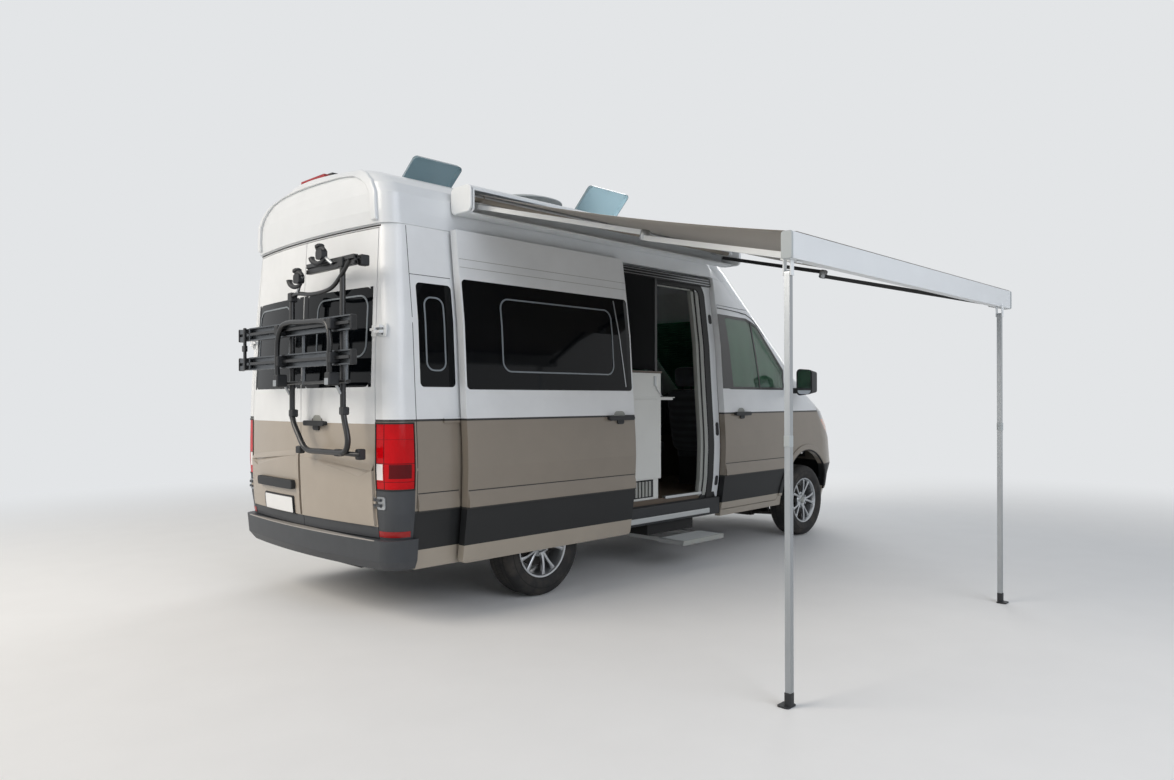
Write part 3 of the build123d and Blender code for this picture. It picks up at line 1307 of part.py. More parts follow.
CARRIER_RAIL_DEPTH = 36
CARRIER_RAIL_HEIGHT = 88
CARRIER_RAIL_LEFT = 340
CARRIER_RAIL_RIGHT = -1000
HOOP_TOP = 1870
RAIL_HEIGHTS = (1640, 1840)
with BuildPart() as carrier_platform:
    add(
        bent_tube(
            [
                (PLATFORM_X, HOOP_LEFT_Y, PLATFORM_PIVOT_Z - 12), (PLATFORM_X, HOOP_LEFT_Y, HOOP_TOP),
                (PLATFORM_X, HOOP_RIGHT_Y, HOOP_TOP), (PLATFORM_X, HOOP_RIGHT_Y, PLATFORM_PIVOT_Z - 12),
            ],
            70, PLATFORM_TUBE,
        )
    )
    rail_far_x = PLATFORM_X - PLATFORM_TUBE + 2 - CARRIER_RAIL_DEPTH
    for rail_z in RAIL_HEIGHTS:
        add(
            frame_box(
                rail_far_x, rail_far_x + CARRIER_RAIL_DEPTH, CARRIER_RAIL_RIGHT, CARRIER_RAIL_LEFT,
                rail_z - CARRIER_RAIL_HEIGHT / 2, rail_z + CARRIER_RAIL_HEIGHT / 2,
            )
        )
        add(
            frame_box(
                rail_far_x - 1, rail_far_x + CARRIER_RAIL_DEPTH - 8, CARRIER_RAIL_RIGHT - 1,
                CARRIER_RAIL_LEFT + 1, rail_z - CARRIER_RAIL_HEIGHT / 2 + 8,
                rail_z + CARRIER_RAIL_HEIGHT / 2 - 8,
            ),
            mode=Mode.SUBTRACT,
        )
    for leg_y in (HOOP_LEFT_Y, HOOP_RIGHT_Y):
        with BuildSketch(Plane.XZ.offset(-leg_y - PLATFORM_TUBE)):
            with Locations((PLATFORM_X, PLATFORM_PIVOT_Z)):
                Circle(6 + RUNNING_CLEARANCE)
        extrude(amount=2 * PLATFORM_TUBE, mode=Mode.SUBTRACT)

# Entry step, drawn out from its housing under the doorway
STEP_REAR = 1240
STEP_FRONT = 1790
STEP_FAR_Y = -1245
STEP_NEAR_Y = -985
STEP_TOP = 262
STEP_LOW = STEP_TOP - 32
STEP_ARM = 40
STEP_ARM_END_Y = -640
HOUSING_LOW = 275
STEP_HOUSING_FAR_Y = -900
with BuildPart() as step_housing:
    add(
        frame_box(
            STEP_REAR - 30, STEP_FRONT + 30, STEP_HOUSING_FAR_Y, -RAIL_OUTER_Y, HOUSING_LOW, RAIL_BOTTOM
        )
    )
with BuildPart() as entry_step:
    add(frame_box(STEP_REAR, STEP_FRONT, STEP_FAR_Y, STEP_NEAR_Y, STEP_LOW, STEP_TOP))
    for arm_x in (STEP_REAR + 40, STEP_FRONT - 80):
        add(frame_box(arm_x, arm_x + STEP_ARM, STEP_NEAR_Y, STEP_ARM_END_Y, STEP_LOW, STEP_TOP))
        add(
            frame_box(
                arm_x, arm_x + STEP_ARM, STEP_ARM_END_Y - 60, STEP_ARM_END_Y, STEP_LOW,
                HOUSING_LOW - SEAT_GAP,
            )
        )
with BuildPart() as underfloor:
    add(underbody.part)
    add(step_housing.part)
    add(front_bumper.part, mode=Mode.SUBTRACT)

# Every node by name, in the order of the real assembly
PIECES = {
    "body_side_left": body_side_left,
    "body_side_right": body_side_right,
    "high_roof": high_roof,
    "cab_frame": cab_frame,
    "front_wings": front_wings,
    "bonnet": bonnet,
    "front_bumper": front_bumper,
    "grille": grille,
    "headlamps": headlamps,
    "windscreen": windscreen,
    "front_door_left": front_door_left,
    "front_door_right": front_door_right,
    "door_glass_left": door_glass_left,
    "door_glass_right": door_glass_right,
    "mirror_left": mirror_left,
    "mirror_right": mirror_right,
    "sliding_door": sliding_door,
    "sliding_door_glass": sliding_door_glass,
    "side_windows": window_set,
    "rear_door_left": rear_door_left,
    "rear_door_right": rear_door_right,
    "rear_glass_left": rear_glass_left,
    "rear_glass_right": rear_glass_right,
    "rear_bumper": rear_bumper_set,
    "tail_lamps": tail_lamps,
    "floor_pan": floor_and_firewall,
    "underfloor": underfloor,
    "axles": axles,
    "engine_block": engine_block,
    "knuckle_left": knuckle_left,
    "knuckle_right": knuckle_right,
    "cab_seats": cab_seats,
    "dashboard": dashboard,
    "kitchen_unit": kitchen_unit,
    "rear_bed": rear_bed,
    "cupboards": lockers,
    "roof_lid_rear": roof_lids["rear"],
    "roof_lid_front": roof_lids["front"],
    "dish_turntable": dish_turntable,
    "satellite_dish": satellite_dish,
    "awning_case": awning_case,
    "awning_fabric": awning_fabric,
    "awning_rail": awning_rail,
    "carrier_frame": carrier_frame,
    "carrier_platform": carrier_platform,
    "entry_step": entry_step,
}
for wheel in WHEELS:
    PIECES[f"tyre_{wheel.name}"] = tyres[wheel.name]
    PIECES[f"rim_{wheel.name}"] = rims[wheel.name]
for fold in FOLDS:
    PIECES[f"upper_arm_{fold.name}"] = upper_arms[fold.name]
    PIECES[f"forearm_{fold.name}"] = forearms[fold.name]
for leg in LEGS:
    PIECES[f"awning_leg_{leg.name}"] = legs[leg.name]

# The stored origin is the middle of the whole footprint, on the ground
REARMOST = rail_far_x
LEFTMOST = -MIRROR_OUTER_Y
RIGHTMOST = LEGS[1].y - LEG_WIDTH / 2
TO_MIDDLE = Location((-(NOSE + REARMOST) / 2, -(LEFTMOST + RIGHTMOST) / 2, 0))
for name, piece in PIECES.items():
    stored = Part(children=[], obj=Compound(solid_pieces(piece.part)).wrapped)
    stored = stored.moved(TO_MIDDLE)
    stored.label = name
    export_step(stored, f"parts/{name}.step")
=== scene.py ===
# %% [markdown]
# A camper van in its finishes
#
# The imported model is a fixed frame: every panel, wheel, arm and door is already at its real
# size and place. This script gives each of them the surface of the real thing and adds what
# is too thin or too soft for the solids, such as cloth, seals, handles and tyre tread.

import json

import bmesh
import bpy
import numpy as np
from mathutils import Matrix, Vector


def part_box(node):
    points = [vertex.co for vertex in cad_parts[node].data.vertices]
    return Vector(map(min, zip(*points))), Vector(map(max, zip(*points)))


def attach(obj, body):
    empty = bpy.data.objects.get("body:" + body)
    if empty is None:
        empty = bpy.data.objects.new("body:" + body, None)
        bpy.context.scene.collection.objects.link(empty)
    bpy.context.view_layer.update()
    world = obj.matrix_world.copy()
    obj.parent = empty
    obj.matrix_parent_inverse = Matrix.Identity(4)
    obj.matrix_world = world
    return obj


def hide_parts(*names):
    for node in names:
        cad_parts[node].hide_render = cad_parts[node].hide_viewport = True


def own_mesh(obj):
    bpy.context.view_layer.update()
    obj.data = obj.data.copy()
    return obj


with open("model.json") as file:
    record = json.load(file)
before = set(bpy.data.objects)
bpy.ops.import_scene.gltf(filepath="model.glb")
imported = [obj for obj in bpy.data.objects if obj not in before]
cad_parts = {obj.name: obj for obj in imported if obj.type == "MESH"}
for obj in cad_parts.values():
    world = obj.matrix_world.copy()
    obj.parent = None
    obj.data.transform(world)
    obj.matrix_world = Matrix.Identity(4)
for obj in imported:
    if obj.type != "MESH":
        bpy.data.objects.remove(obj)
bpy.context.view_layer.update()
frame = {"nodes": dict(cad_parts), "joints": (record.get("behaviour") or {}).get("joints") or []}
nodes = frame["nodes"]

# %% [markdown]
# A vehicle is measured from its rear axle, forwards, to the left and up from the ground, in
# millimetres. The frame is in metres from the middle of the whole footprint. One function
# turns the first into the second, and it finds the rear axle from the wheels themselves.

# %% Places on the van
left_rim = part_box("rim_rear_left")
right_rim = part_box("rim_rear_right")
axle = (left_rim[0] + left_rim[1] + right_rim[0] + right_rim[1]) / 4
ORIGIN = np.array([axle.x, axle.y, 0.0])


def place(points):
    """Metres in the frame, from millimetres ahead of the rear axle, left of the middle and above ground."""
    return np.asarray(points, float) / 1000 + ORIGIN


def van_box(node):
    """Lowest and highest corner of a CAD node, in millimetres from the rear axle."""
    low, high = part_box(node)
    return (np.array(low) - ORIGIN) * 1000, (np.array(high) - ORIGIN) * 1000


print("rear axle in the frame", ORIGIN.round(4))

# %% [markdown]
# The photograph was taken from behind the right corner at eye height. The camera here has
# the same place, direction and lens, so the render lies over the photograph. The direction
# is a turn to the left from straight ahead, and the picture's centre is off the lens axis by
# a few pixels, which is the camera's shift.

# %% Camera
CAMERA_PLACE = (-3998, -5276, 1386)
CAMERA_TURN = 44.08
CAMERA_TILT = -0.08
CAMERA_ROLL = -0.17
PICTURE_WIDTH = 1174
FOCAL_PIXELS = 828.8
SENSOR_MM = 36.0
AXIS_OFF_CENTRE = (1.5, 11.2)

turn, tilt, roll = np.radians([CAMERA_TURN, CAMERA_TILT, CAMERA_ROLL])
forward = np.array([np.cos(turn) * np.cos(tilt), np.sin(turn) * np.cos(tilt), np.sin(tilt)])
level = np.array([np.sin(turn), -np.cos(turn), 0.0])
right = np.cos(roll) * level + np.sin(roll) * np.cross(level, forward)
camera_axes = np.eye(4)
camera_axes[:3, 0] = right
camera_axes[:3, 1] = np.cross(right, forward)
camera_axes[:3, 2] = -forward
camera_axes[:3, 3] = place(CAMERA_PLACE)
camera_data = bpy.data.cameras.new("camera")
camera_data.sensor_width = SENSOR_MM
camera_data.lens = FOCAL_PIXELS / PICTURE_WIDTH * SENSOR_MM
camera_data.shift_x = -AXIS_OFF_CENTRE[0] / PICTURE_WIDTH
camera_data.shift_y = AXIS_OFF_CENTRE[1] / PICTURE_WIDTH
camera_data.clip_end = 200
camera = bpy.data.objects.new("camera", camera_data)
camera.matrix_world = Matrix(camera_axes.tolist())
bpy.context.scene.collection.objects.link(camera)
bpy.context.scene.camera = camera
print("lens", round(camera_data.lens, 2), "mm")

# %% [markdown]
# A studio floor that runs up into a pale world gives soft, even light. The sun in the
# photograph stands behind the camera to the left and brightens the rear doors, so the
# largest lamp stands there, and a weaker one fills the shaded side.

# %% Floor, world and lamps
FLOOR_HALF = 40.0
KEY_SIZE = 7.0
BACKDROP = "E3E5E7"
view = bpy.context.scene.view_settings
view.view_transform = "Standard"


def linear(code):
    """Linear red, green, blue and one for alpha from an sRGB hex code, by the sRGB curve."""
    shares = np.array([int(code[i : i + 2], 16) for i in (0, 2, 4)]) / 255
    curve = np.where(shares <= 0.04045, shares / 12.92, ((shares + 0.055) / 1.055) ** 2.4)
    return (*curve.tolist(), 1.0)


def add_node(tree, kind, inputs=None, **settings):
    """A shader node with its settings, its input values and its links from other sockets."""
    node = tree.nodes.new("ShaderNode" + kind)
    for key, value in settings.items():
        setattr(node, key, value)
    for key, value in (inputs or {}).items():
        if isinstance(value, bpy.types.NodeSocket):
            tree.links.new(value, node.inputs[key])
        else:
            node.inputs[key].default_value = value
    return node


world = bpy.data.worlds.new("studio")
bpy.context.scene.world = world
world.use_nodes = True
sky = world.node_tree
sky.nodes.clear()
path = add_node(sky, "LightPath")
seen = add_node(
    sky, "Math", {0: path.outputs["Is Camera Ray"], 1: path.outputs["Is Glossy Ray"]}, operation="MAXIMUM",
)
seen = add_node(
    sky, "Math", {0: seen.outputs[0], 1: path.outputs["Is Transmission Ray"]}, operation="MAXIMUM",
)
lit = add_node(sky, "Background", {"Color": linear("DDE3EA"), "Strength": 0.38})
shown = add_node(sky, "Background", {"Color": linear(BACKDROP), "Strength": 1.0})
both = add_node(sky, "MixShader", {0: seen.outputs[0], 1: lit.outputs[0], 2: shown.outputs[0]})
add_node(sky, "OutputWorld", {"Surface": both.outputs[0]})


def lamp(name, spot, target, size, watts, colour):
    """A square area lamp at one place, turned towards another, both in millimetres on the van."""
    data = bpy.data.lights.new(name, "AREA")
    data.size = size
    data.energy = watts
    data.color = linear(colour)[:3]
    item = bpy.data.objects.new(name, data)
    start, goal = place(spot), place(target)
    away = (start - goal) / np.linalg.norm(start - goal)
    side = np.cross((0, 0, 1), away)
    side /= np.linalg.norm(side)
    axes = np.eye(4)
    axes[:3, 0], axes[:3, 1], axes[:3, 2], axes[:3, 3] = side, np.cross(away, side), away, start
    item.matrix_world = Matrix(axes.tolist())
    bpy.context.scene.collection.objects.link(item)
    return item


MIDDLE = (1500, -300, 1300)
lamp("key", (-9500, 2500, 7500), MIDDLE, KEY_SIZE, 900, "FFF6EA")
lamp("side_fill", (-1500, -11000, 5500), MIDDLE, KEY_SIZE, 430, "F2F6FF")
lamp("front_fill", (12000, 5500, 6000), MIDDLE, KEY_SIZE, 480, "FFFFFF")


# %% [markdown]
# Every new piece is a mesh worked out as whole arrays. A few helpers make the common forms:
# a grid of points becomes four-sided faces, a ring carried along a path becomes a tube, an
# outline becomes a plate, and a half profile turned round an axis becomes a round piece.

# %% Mesh helpers
MERGE_METRES = 1e-5
SHARP_ANGLE = np.radians(38)


def grid_faces(rows, columns, wrap_rows=False, wrap_columns=False):
    """Four-sided faces over a grid of points stored row by row, joined end to end where wrapped."""
    down = np.arange(rows if wrap_rows else rows - 1)
    across = np.arange(columns if wrap_columns else columns - 1)
    i, j = np.meshgrid(down, across, indexing="ij")
    i2, j2 = (i + 1) % rows, (j + 1) % columns
    corners = [i * columns + j, i * columns + j2, i2 * columns + j2, i2 * columns + j]
    return np.stack(corners, axis=-1).reshape(-1, 4).tolist()


def make_piece(name, points, faces, finish, body, slot, smooth=True, bevel=0.0, uv=None):
    """A mesh piece from points in millimetres on the van, with its finish and the body it rides on."""
    mesh = bpy.data.meshes.new(name)
    mesh.from_pydata(place(points).tolist(), [], faces)
    if uv is not None:
        mesh.uv_layers.new(name="wrap").data.foreach_set("uv", np.asarray(uv, float).ravel())
    form = bmesh.new()
    form.from_mesh(mesh)
    bmesh.ops.remove_doubles(form, verts=form.verts, dist=MERGE_METRES)
    bmesh.ops.recalc_face_normals(form, faces=form.faces)
    form.to_mesh(mesh)
    form.free()
    mesh.validate()
    mesh.materials.append(finish)
    if smooth:
        mesh.shade_smooth()
        mesh.set_sharp_from_angle(angle=SHARP_ANGLE)
    else:
        mesh.shade_flat()
    piece = bpy.data.objects.new(name, mesh)
    bpy.context.scene.collection.objects.link(piece)
    if bevel:
        rounding = piece.modifiers.new("rounding", "BEVEL")
        rounding.width = bevel / 1000
        rounding.segments = 2
        rounding.limit_method = "ANGLE"
        rounding.harden_normals = True
    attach(piece, body)
    return piece


def rounded_outline(width, height, radius, steps=6):
    """Points round a rectangle whose corners are quarter circles, about its own middle."""
    angles = np.radians(np.linspace(0, 90, steps))
    arc = np.stack([np.cos(angles), np.sin(angles)], axis=1) * radius
    shift = np.array([width / 2 - radius, height / 2 - radius])
    quarters = []
    for index, (sign_x, sign_y) in enumerate(((1, 1), (-1, 1), (-1, -1), (1, -1))):
        corner = arc if index % 2 == 0 else arc[::-1]
        quarters.append((corner + shift) * (sign_x, sign_y))
    return np.concatenate(quarters)


def prism(outline, depth, origin, across, up):
    """Points and faces of a plate: the outline on two planes a depth apart, with both ends closed."""
    across, up = np.array(across, float), np.array(up, float)
    out = np.cross(across, up)
    flat = np.array(origin, float) + outline[:, :1] * across + outline[:, 1:] * up
    points = np.concatenate([flat, flat + out * depth])
    count = len(outline)
    ring = np.arange(count)
    sides = np.stack([ring, (ring + 1) % count, (ring + 1) % count + count, ring + count], axis=1)
    return points, sides.tolist() + [ring[::-1].tolist(), (ring + count).tolist()]


def tube(path, radius, sides=12):
    """Points and faces of a round bar: a circle carried along a path, square to it, ends closed."""
    path = np.asarray(path, float)
    heading = np.gradient(path, axis=0)
    heading /= np.linalg.norm(heading, axis=1, keepdims=True)
    fixed = np.array([0.0, 0.0, 1.0]) if abs(heading[:, 2]).max() < 0.9 else np.array([0.31, 0.95, 0.0])
    side = np.cross(heading, fixed)
    side /= np.linalg.norm(side, axis=1, keepdims=True)
    rise = np.cross(side, heading)
    angle = np.linspace(0, 2 * np.pi, sides, endpoint=False)
    radii = np.broadcast_to(radius, len(path))[:, None, None]
    ring = np.cos(angle)[None, :, None] * side[:, None] + np.sin(angle)[None, :, None] * rise[:, None]
    points = (path[:, None] + ring * radii).reshape(-1, 3)
    last = len(points) - sides
    ends = [list(range(sides))[::-1], list(range(last, last + sides))]
    return points, [face[::-1] for face in grid_faces(len(path), sides, wrap_columns=True)] + [
        e[::-1] for e in ends
    ]


def turned(profile, origin, axis, steps=48, closed=False):
    """Points and faces of a round piece: (radius, along) pairs carried round an axis through the origin."""
    profile = np.asarray(profile, float)
    axis = np.array(axis, float)
    first = np.cross(axis, (0.3, 0.2, 0.9))
    first /= np.linalg.norm(first)
    second = np.cross(axis, first)
    angle = np.linspace(0, 2 * np.pi, steps, endpoint=False)
    spoke = np.cos(angle)[:, None] * first + np.sin(angle)[:, None] * second
    points = np.array(origin, float) + spoke[:, None] * profile[None, :, :1] + axis * profile[None, :, 1:]
    return points.reshape(-1, 3), grid_faces(steps, len(profile), True, closed)


def joined(*shapes):
    """One point list and face list from several, each face's numbers moved past the points before it."""
    points, faces, start = [], [], 0
    for shape_points, shape_faces in shapes:
        points.append(shape_points)
        faces += [[index + start for index in face] for face in shape_faces]
        start += len(shape_points)
    return np.concatenate(points), faces


def block(low, high):
    """Points and faces of a box between two corners."""
    low, high = np.array(low, float), np.array(high, float)
    corners = np.array([[x, y, z] for x in (0, 1) for y in (0, 1) for z in (0, 1)])
    faces = [[0, 1, 3, 2], [4, 6, 7, 5], [0, 4, 5, 1], [2, 3, 7, 6], [0, 2, 6, 4], [1, 5, 7, 3]]
    return low + corners * (high - low), faces


# %% [markdown]
# Paint in two colours with a black cladding below is one finish per panel: a ramp reads the
# height above the ground and changes colour sharply where the masking tape ran. A second
# ramp does the same for roughness, because the cladding is grained plastic and the paint is
# lacquered. A faint noise varies the colour, as dust does, and a fine bump gives orange peel.

# %% Banded paint
RAMP_TOP = 3500.0
WHITE = "E3E5E6"
# One taupe paint in two copies: darker on the sides as painted shade, lighter on the rear doors as painted
# sunlight.
TAUPE_IN_SHADE = "8A8175"
TAUPE_IN_SUN = "A79D90"
SILVER_TAUPE = "A39A8D"
# The side cladding is the rear bumper's black plastic coloured darker: painted shade on the sides.
CLADDING_IN_SHADE = "131517"
# Painted shade inside the van: the walls' inner faces within a box are coloured dark. The limits below give
# that box and how far from the middle the inner faces lie.
INSIDE_SHADE = "2E2F30"
INSIDE_SHADE_REACH_LOW = 985.0
INSIDE_SHADE_REACH_HIGH = 862.0
INSIDE_SHADE_X_MIDDLE, INSIDE_SHADE_X_HALF = 465.0, 1610.0
INSIDE_SHADE_Z_MIDDLE, INSIDE_SHADE_Z_HALF = 1500.0, 940.0
LEAN_START, LEAN_END = 1500.0, 2500.0
# Dark bands at the edges of the cladding and just under the colour split. They are seams, and at the split
# they are painted shade in the groove between the colours.
SEAM_AND_GROOVE_SHADE = "2B2A29"
PAINT_ROUGH = 0.27
PLASTIC_ROUGH = 0.6


def new_finish(name, **inputs):
    """A material with one surface shader, and that shader's values."""
    material = bpy.data.materials.new(name)
    material.use_nodes = True
    tree = material.node_tree
    tree.nodes.clear()
    named = {key.replace("_", " "): value for key, value in inputs.items()}
    shader = add_node(tree, "BsdfPrincipled", named)
    add_node(tree, "OutputMaterial", {"Surface": shader.outputs[0]})
    return material, tree, shader


def object_place(tree):
    """Socket with the place on the object, in metres."""
    return add_node(tree, "TexCoord").outputs["Object"]


def van_millimetres(tree):
    """Socket with the place on the van in millimetres: metres times 1000, less where the rear axle is."""
    shift = (-ORIGIN * 1000).tolist()
    inputs = {"Vector": object_place(tree), "Location": shift, "Scale": (1000, 1000, 1000)}
    return add_node(tree, "Mapping", inputs).outputs[0]


def mixed(tree, share, under, over):
    """Colour socket that is the second where the share is 1 and the first where it is 0."""
    mix = add_node(tree, "Mix", {0: share, 6: under, 7: over}, data_type="RGBA")
    return mix.outputs[2]


def set_ramp(ramp, stops, smooth=False):
    """Writes (place from 0 to 1, colour) stops into a colour ramp."""
    ramp.interpolation = "LINEAR" if smooth else "CONSTANT"
    while len(ramp.elements) > 1:
        ramp.elements.remove(ramp.elements[-1])
    ramp.elements[0].position, ramp.elements[0].color = stops[0]
    for position, colour in stops[1:]:
        ramp.elements.new(position).color = colour


def speckle(tree, shader, coarse_mm, strength, distance_mm):
    """Bump from a fine noise whose grain is a real size, wired to the shader's normal."""
    noise = add_node(
        tree, "TexNoise", {"Vector": object_place(tree), "Scale": 1000 / coarse_mm, "Detail": 3.0},
    )
    bump = add_node(
        tree, "Bump", {"Height": noise.outputs["Fac"], "Strength": strength, "Distance": distance_mm / 1000},
    )
    tree.links.new(bump.outputs[0], shader.inputs["Normal"])
    return noise


def banded_paint(name, bands):
    """Paint whose colour and roughness change at heights: (top in millimetres, hex, roughness) from below."""
    material, tree, shader = new_finish(name, IOR=1.46, Coat_Weight=0.12, Coat_Roughness=0.08)
    spot = object_place(tree)
    height = add_node(tree, "SeparateXYZ", {0: spot}).outputs["Z"]
    share = add_node(tree, "Math", {0: height, 1: 1000 / RAMP_TOP}, operation="MULTIPLY").outputs[0]
    starts = [0.0] + [top / RAMP_TOP for top, _, _ in bands[:-1]]
    colours = add_node(tree, "ValToRGB", {0: share})
    set_ramp(colours.color_ramp, [(start, linear(code)) for start, (_, code, _) in zip(starts, bands)])
    gloss = add_node(tree, "ValToRGB", {0: share})
    set_ramp(gloss.color_ramp, [(start, (rough,) * 3 + (1,)) for start, (_, _, rough) in zip(starts, bands)])
    dust = add_node(tree, "TexNoise", {"Vector": spot, "Scale": 2.2, "Detail": 5.0, "Roughness": 0.6})
    shade = add_node(tree, "MapRange", {0: dust.outputs["Fac"], 1: 0.3, 2: 0.7, 3: 0.94, 4: 1.03})
    tint = add_node(tree, "VectorMath", {0: colours.outputs[0], "Scale": shade.outputs[0]}, operation="SCALE")
    # Inner faces of the walls, inside the box, get the dark colour of painted shade inside the van.
    axes = add_node(tree, "SeparateXYZ", {0: van_millimetres(tree)}).outputs
    far_y = add_node(tree, "Math", {0: axes["Y"]}, operation="ABSOLUTE").outputs[0]
    lean = {0: axes["Z"], 1: LEAN_START, 2: LEAN_END, 3: INSIDE_SHADE_REACH_LOW, 4: INSIDE_SHADE_REACH_HIGH}
    leaning = add_node(tree, "MapRange", lean).outputs[0]
    within = add_node(tree, "Math", {0: far_y, 1: leaning}, operation="LESS_THAN").outputs[0]
    reach = {0: axes["X"], 1: INSIDE_SHADE_X_MIDDLE, 2: INSIDE_SHADE_X_HALF}
    long = add_node(tree, "Math", reach, operation="COMPARE").outputs[0]
    reach = {0: axes["Z"], 1: INSIDE_SHADE_Z_MIDDLE, 2: INSIDE_SHADE_Z_HALF}
    tall = add_node(tree, "Math", reach, operation="COMPARE").outputs[0]
    inside_shade_share = add_node(tree, "Math", {0: within, 1: long}, operation="MULTIPLY").outputs[0]
    inside_shade_share = add_node(tree, "Math", {0: inside_shade_share, 1: tall}, operation="MULTIPLY").outputs[0]
    tree.links.new(mixed(tree, inside_shade_share, tint.outputs[0], linear(INSIDE_SHADE)), shader.inputs["Base Color"])
    tree.links.new(gloss.outputs[0], shader.inputs["Roughness"])
    speckle(tree, shader, 1.5, 0.05, 0.2)
    return material


SPLIT = 1262
REAR_SPLIT = 1240
SIDE_BANDS = [
    (455, SILVER_TAUPE, 0.32), (462, SEAM_AND_GROOVE_SHADE, 0.6), (694, CLADDING_IN_SHADE, PLASTIC_ROUGH),
    (702, SEAM_AND_GROOVE_SHADE, 0.6), (SPLIT - 9, TAUPE_IN_SHADE, PAINT_ROUGH), (SPLIT, SEAM_AND_GROOVE_SHADE, 0.5),
    (RAMP_TOP, WHITE, PAINT_ROUGH),
]
REAR_BANDS = [(606, "3A3D41", 0.55), (REAR_SPLIT, TAUPE_IN_SUN, PAINT_ROUGH), (RAMP_TOP, WHITE, PAINT_ROUGH)]
side_paint = banded_paint("side_paint", SIDE_BANDS)
rear_paint = banded_paint("rear_door_paint", REAR_BANDS)
print("paint bands", len(SIDE_BANDS), "on the sides")

# %% [markdown]
# Grained plastic, powder coat and rubber differ in colour, in how rough they are, and in the
# size of their grain. One function makes all of them from those three facts, because that is
# also how a buyer of such parts would order them.

# %% Plain finishes with a grain


def grained(name, code, rough, grain_mm, depth_mm=0.3, shift=0.06, **inputs):
    """A finish of one colour with a moulded or sprayed grain of a real size and slight colour drift."""
    material, tree, shader = new_finish(name, Roughness=rough, **inputs)
    noise = speckle(tree, shader, grain_mm, 0.25, depth_mm)
    drift = add_node(tree, "TexNoise", {"Vector": object_place(tree), "Scale": 3.0, "Detail": 4.0})
    shade = add_node(tree, "MapRange", {0: drift.outputs["Fac"], 1: 0.3, 2: 0.7, 3: 1 - shift, 4: 1 + shift})
    colour = linear(code)
    tint = add_node(tree, "VectorMath", {0: colour[:3], "Scale": shade.outputs[0]}, operation="SCALE")
    tree.links.new(tint.outputs[0], shader.inputs["Base Color"])
    return material


gel_coat = grained("gel_coat_white", "DCDFE1", 0.3, 4, 0.1, 0.03, Coat_Weight=0.3)
grained_plastic = grained("grained_black_plastic", "202225", 0.58, 1.2)
powder_white = grained("powder_coat_white", "DDE0E1", 0.42, 0.8, 0.1, 0.03)
powder_dark = grained("powder_coat_dark", "2B2C2E", 0.45, 0.8, 0.1)
powder_black = grained("powder_coat_black", "0E0F11", 0.38, 0.8, 0.1, Coat_Weight=0.2)
seal_rubber = grained("seal_rubber", "0B0C0D", 0.6, 2)
laminate_white = grained("laminate_white", "D5D6D2", 0.35, 2, 0.05, 0.03)
trim_grey = grained("trim_grey", "9B9D98", 0.55, 1.2)
dark_trim = grained("dark_trim", "1C1D1F", 0.6, 1.5)
chassis_black = grained("underseal_black", "141414", 0.75, 6, 1.0, 0.15)
floor_vinyl = grained("floor_vinyl", "5A4D40", 0.45, 5, 0.2, 0.1)
dish_grey = grained("dish_paint", "A9AFB0", 0.5, 1, 0.1)
red_lens = grained("reflector_red", "9C0A0E", 0.18, 2, 0.2)

# %% [markdown]
# Brushed and cast metals are the same shader with a grain of another direction. Extruded
# aluminium shows fine lines along its length, so the noise that drives its roughness is
# stretched along one axis.

# %% Metals


def drawn_metal(name, code, rough, along, line_mm=0.6):
    """Metal with fine lines along one axis: a noise squeezed across the lines and stretched along them."""
    material, tree, shader = new_finish(name, Base_Color=linear(code), Metallic=1.0)
    scale = [1000 / line_mm / 40] * 3
    scale["xyz".index(along)] = 2.0
    mapped = add_node(tree, "Mapping", {"Vector": object_place(tree), "Scale": scale})
    noise = add_node(tree, "TexNoise", {"Vector": mapped.outputs[0], "Scale": 4.0, "Detail": 4.0})
    shade = add_node(
        tree, "MapRange", {0: noise.outputs["Fac"], 1: 0.3, 2: 0.7, 3: rough - 0.08, 4: rough + 0.1},
    )
    tree.links.new(shade.outputs[0], shader.inputs["Roughness"])
    bump = add_node(tree, "Bump", {"Height": noise.outputs["Fac"], "Strength": 0.08, "Distance": 0.0003})
    tree.links.new(bump.outputs[0], shader.inputs["Normal"])
    return material


anodised_dark = drawn_metal("anodised_dark_along_y", "616467", 0.32, "y")
leg_aluminium = drawn_metal("drawn_aluminium_along_z", "A6AAAD", 0.36, "z")
sill_aluminium = drawn_metal("drawn_aluminium_along_x", "B7BABB", 0.36, "x")
cast_alloy = grained("lacquered_alloy", "B4B7BA", 0.28, 1, 0.05, 0.05, Metallic=0.85)
steel_dark = grained("cast_iron_dark", "3A3836", 0.6, 2, 0.3, 0.15, Metallic=0.6)
zinc_steel = grained("zinc_plated_steel", "A9ACAE", 0.4, 1, 0.1, 0.08, Metallic=0.9)

# %% [markdown]
# The windows are of three kinds. The big dark ones are black on their rim and tinted in the
# middle, and from outside both look like polished black. The cab glass is clear with a green
# tint. The roof lights are smoky blue acrylic that scatters the light.

# %% Glass
black_glass, tree, shader = new_finish(
    "black_rimmed_glass", Base_Color=linear("06080B"), Roughness=0.05, IOR=1.45, Specular_IOR_Level=0.22
)
speckle(tree, shader, 400, 0.02, 1.0)
cab_glass, tree, shader = new_finish(
    "green_cab_glass", Base_Color=linear("9DBDAB"), Roughness=0.0, IOR=1.45, Transmission_Weight=0.94,
    Specular_IOR_Level=0.18,
)
speckle(tree, shader, 500, 0.01, 1.0)
acrylic, tree, shader = new_finish(
    "smoky_acrylic", Base_Color=linear("8FA9B2"), Roughness=0.18, IOR=1.49, Transmission_Weight=0.55
)
speckle(tree, shader, 30, 0.05, 0.5)
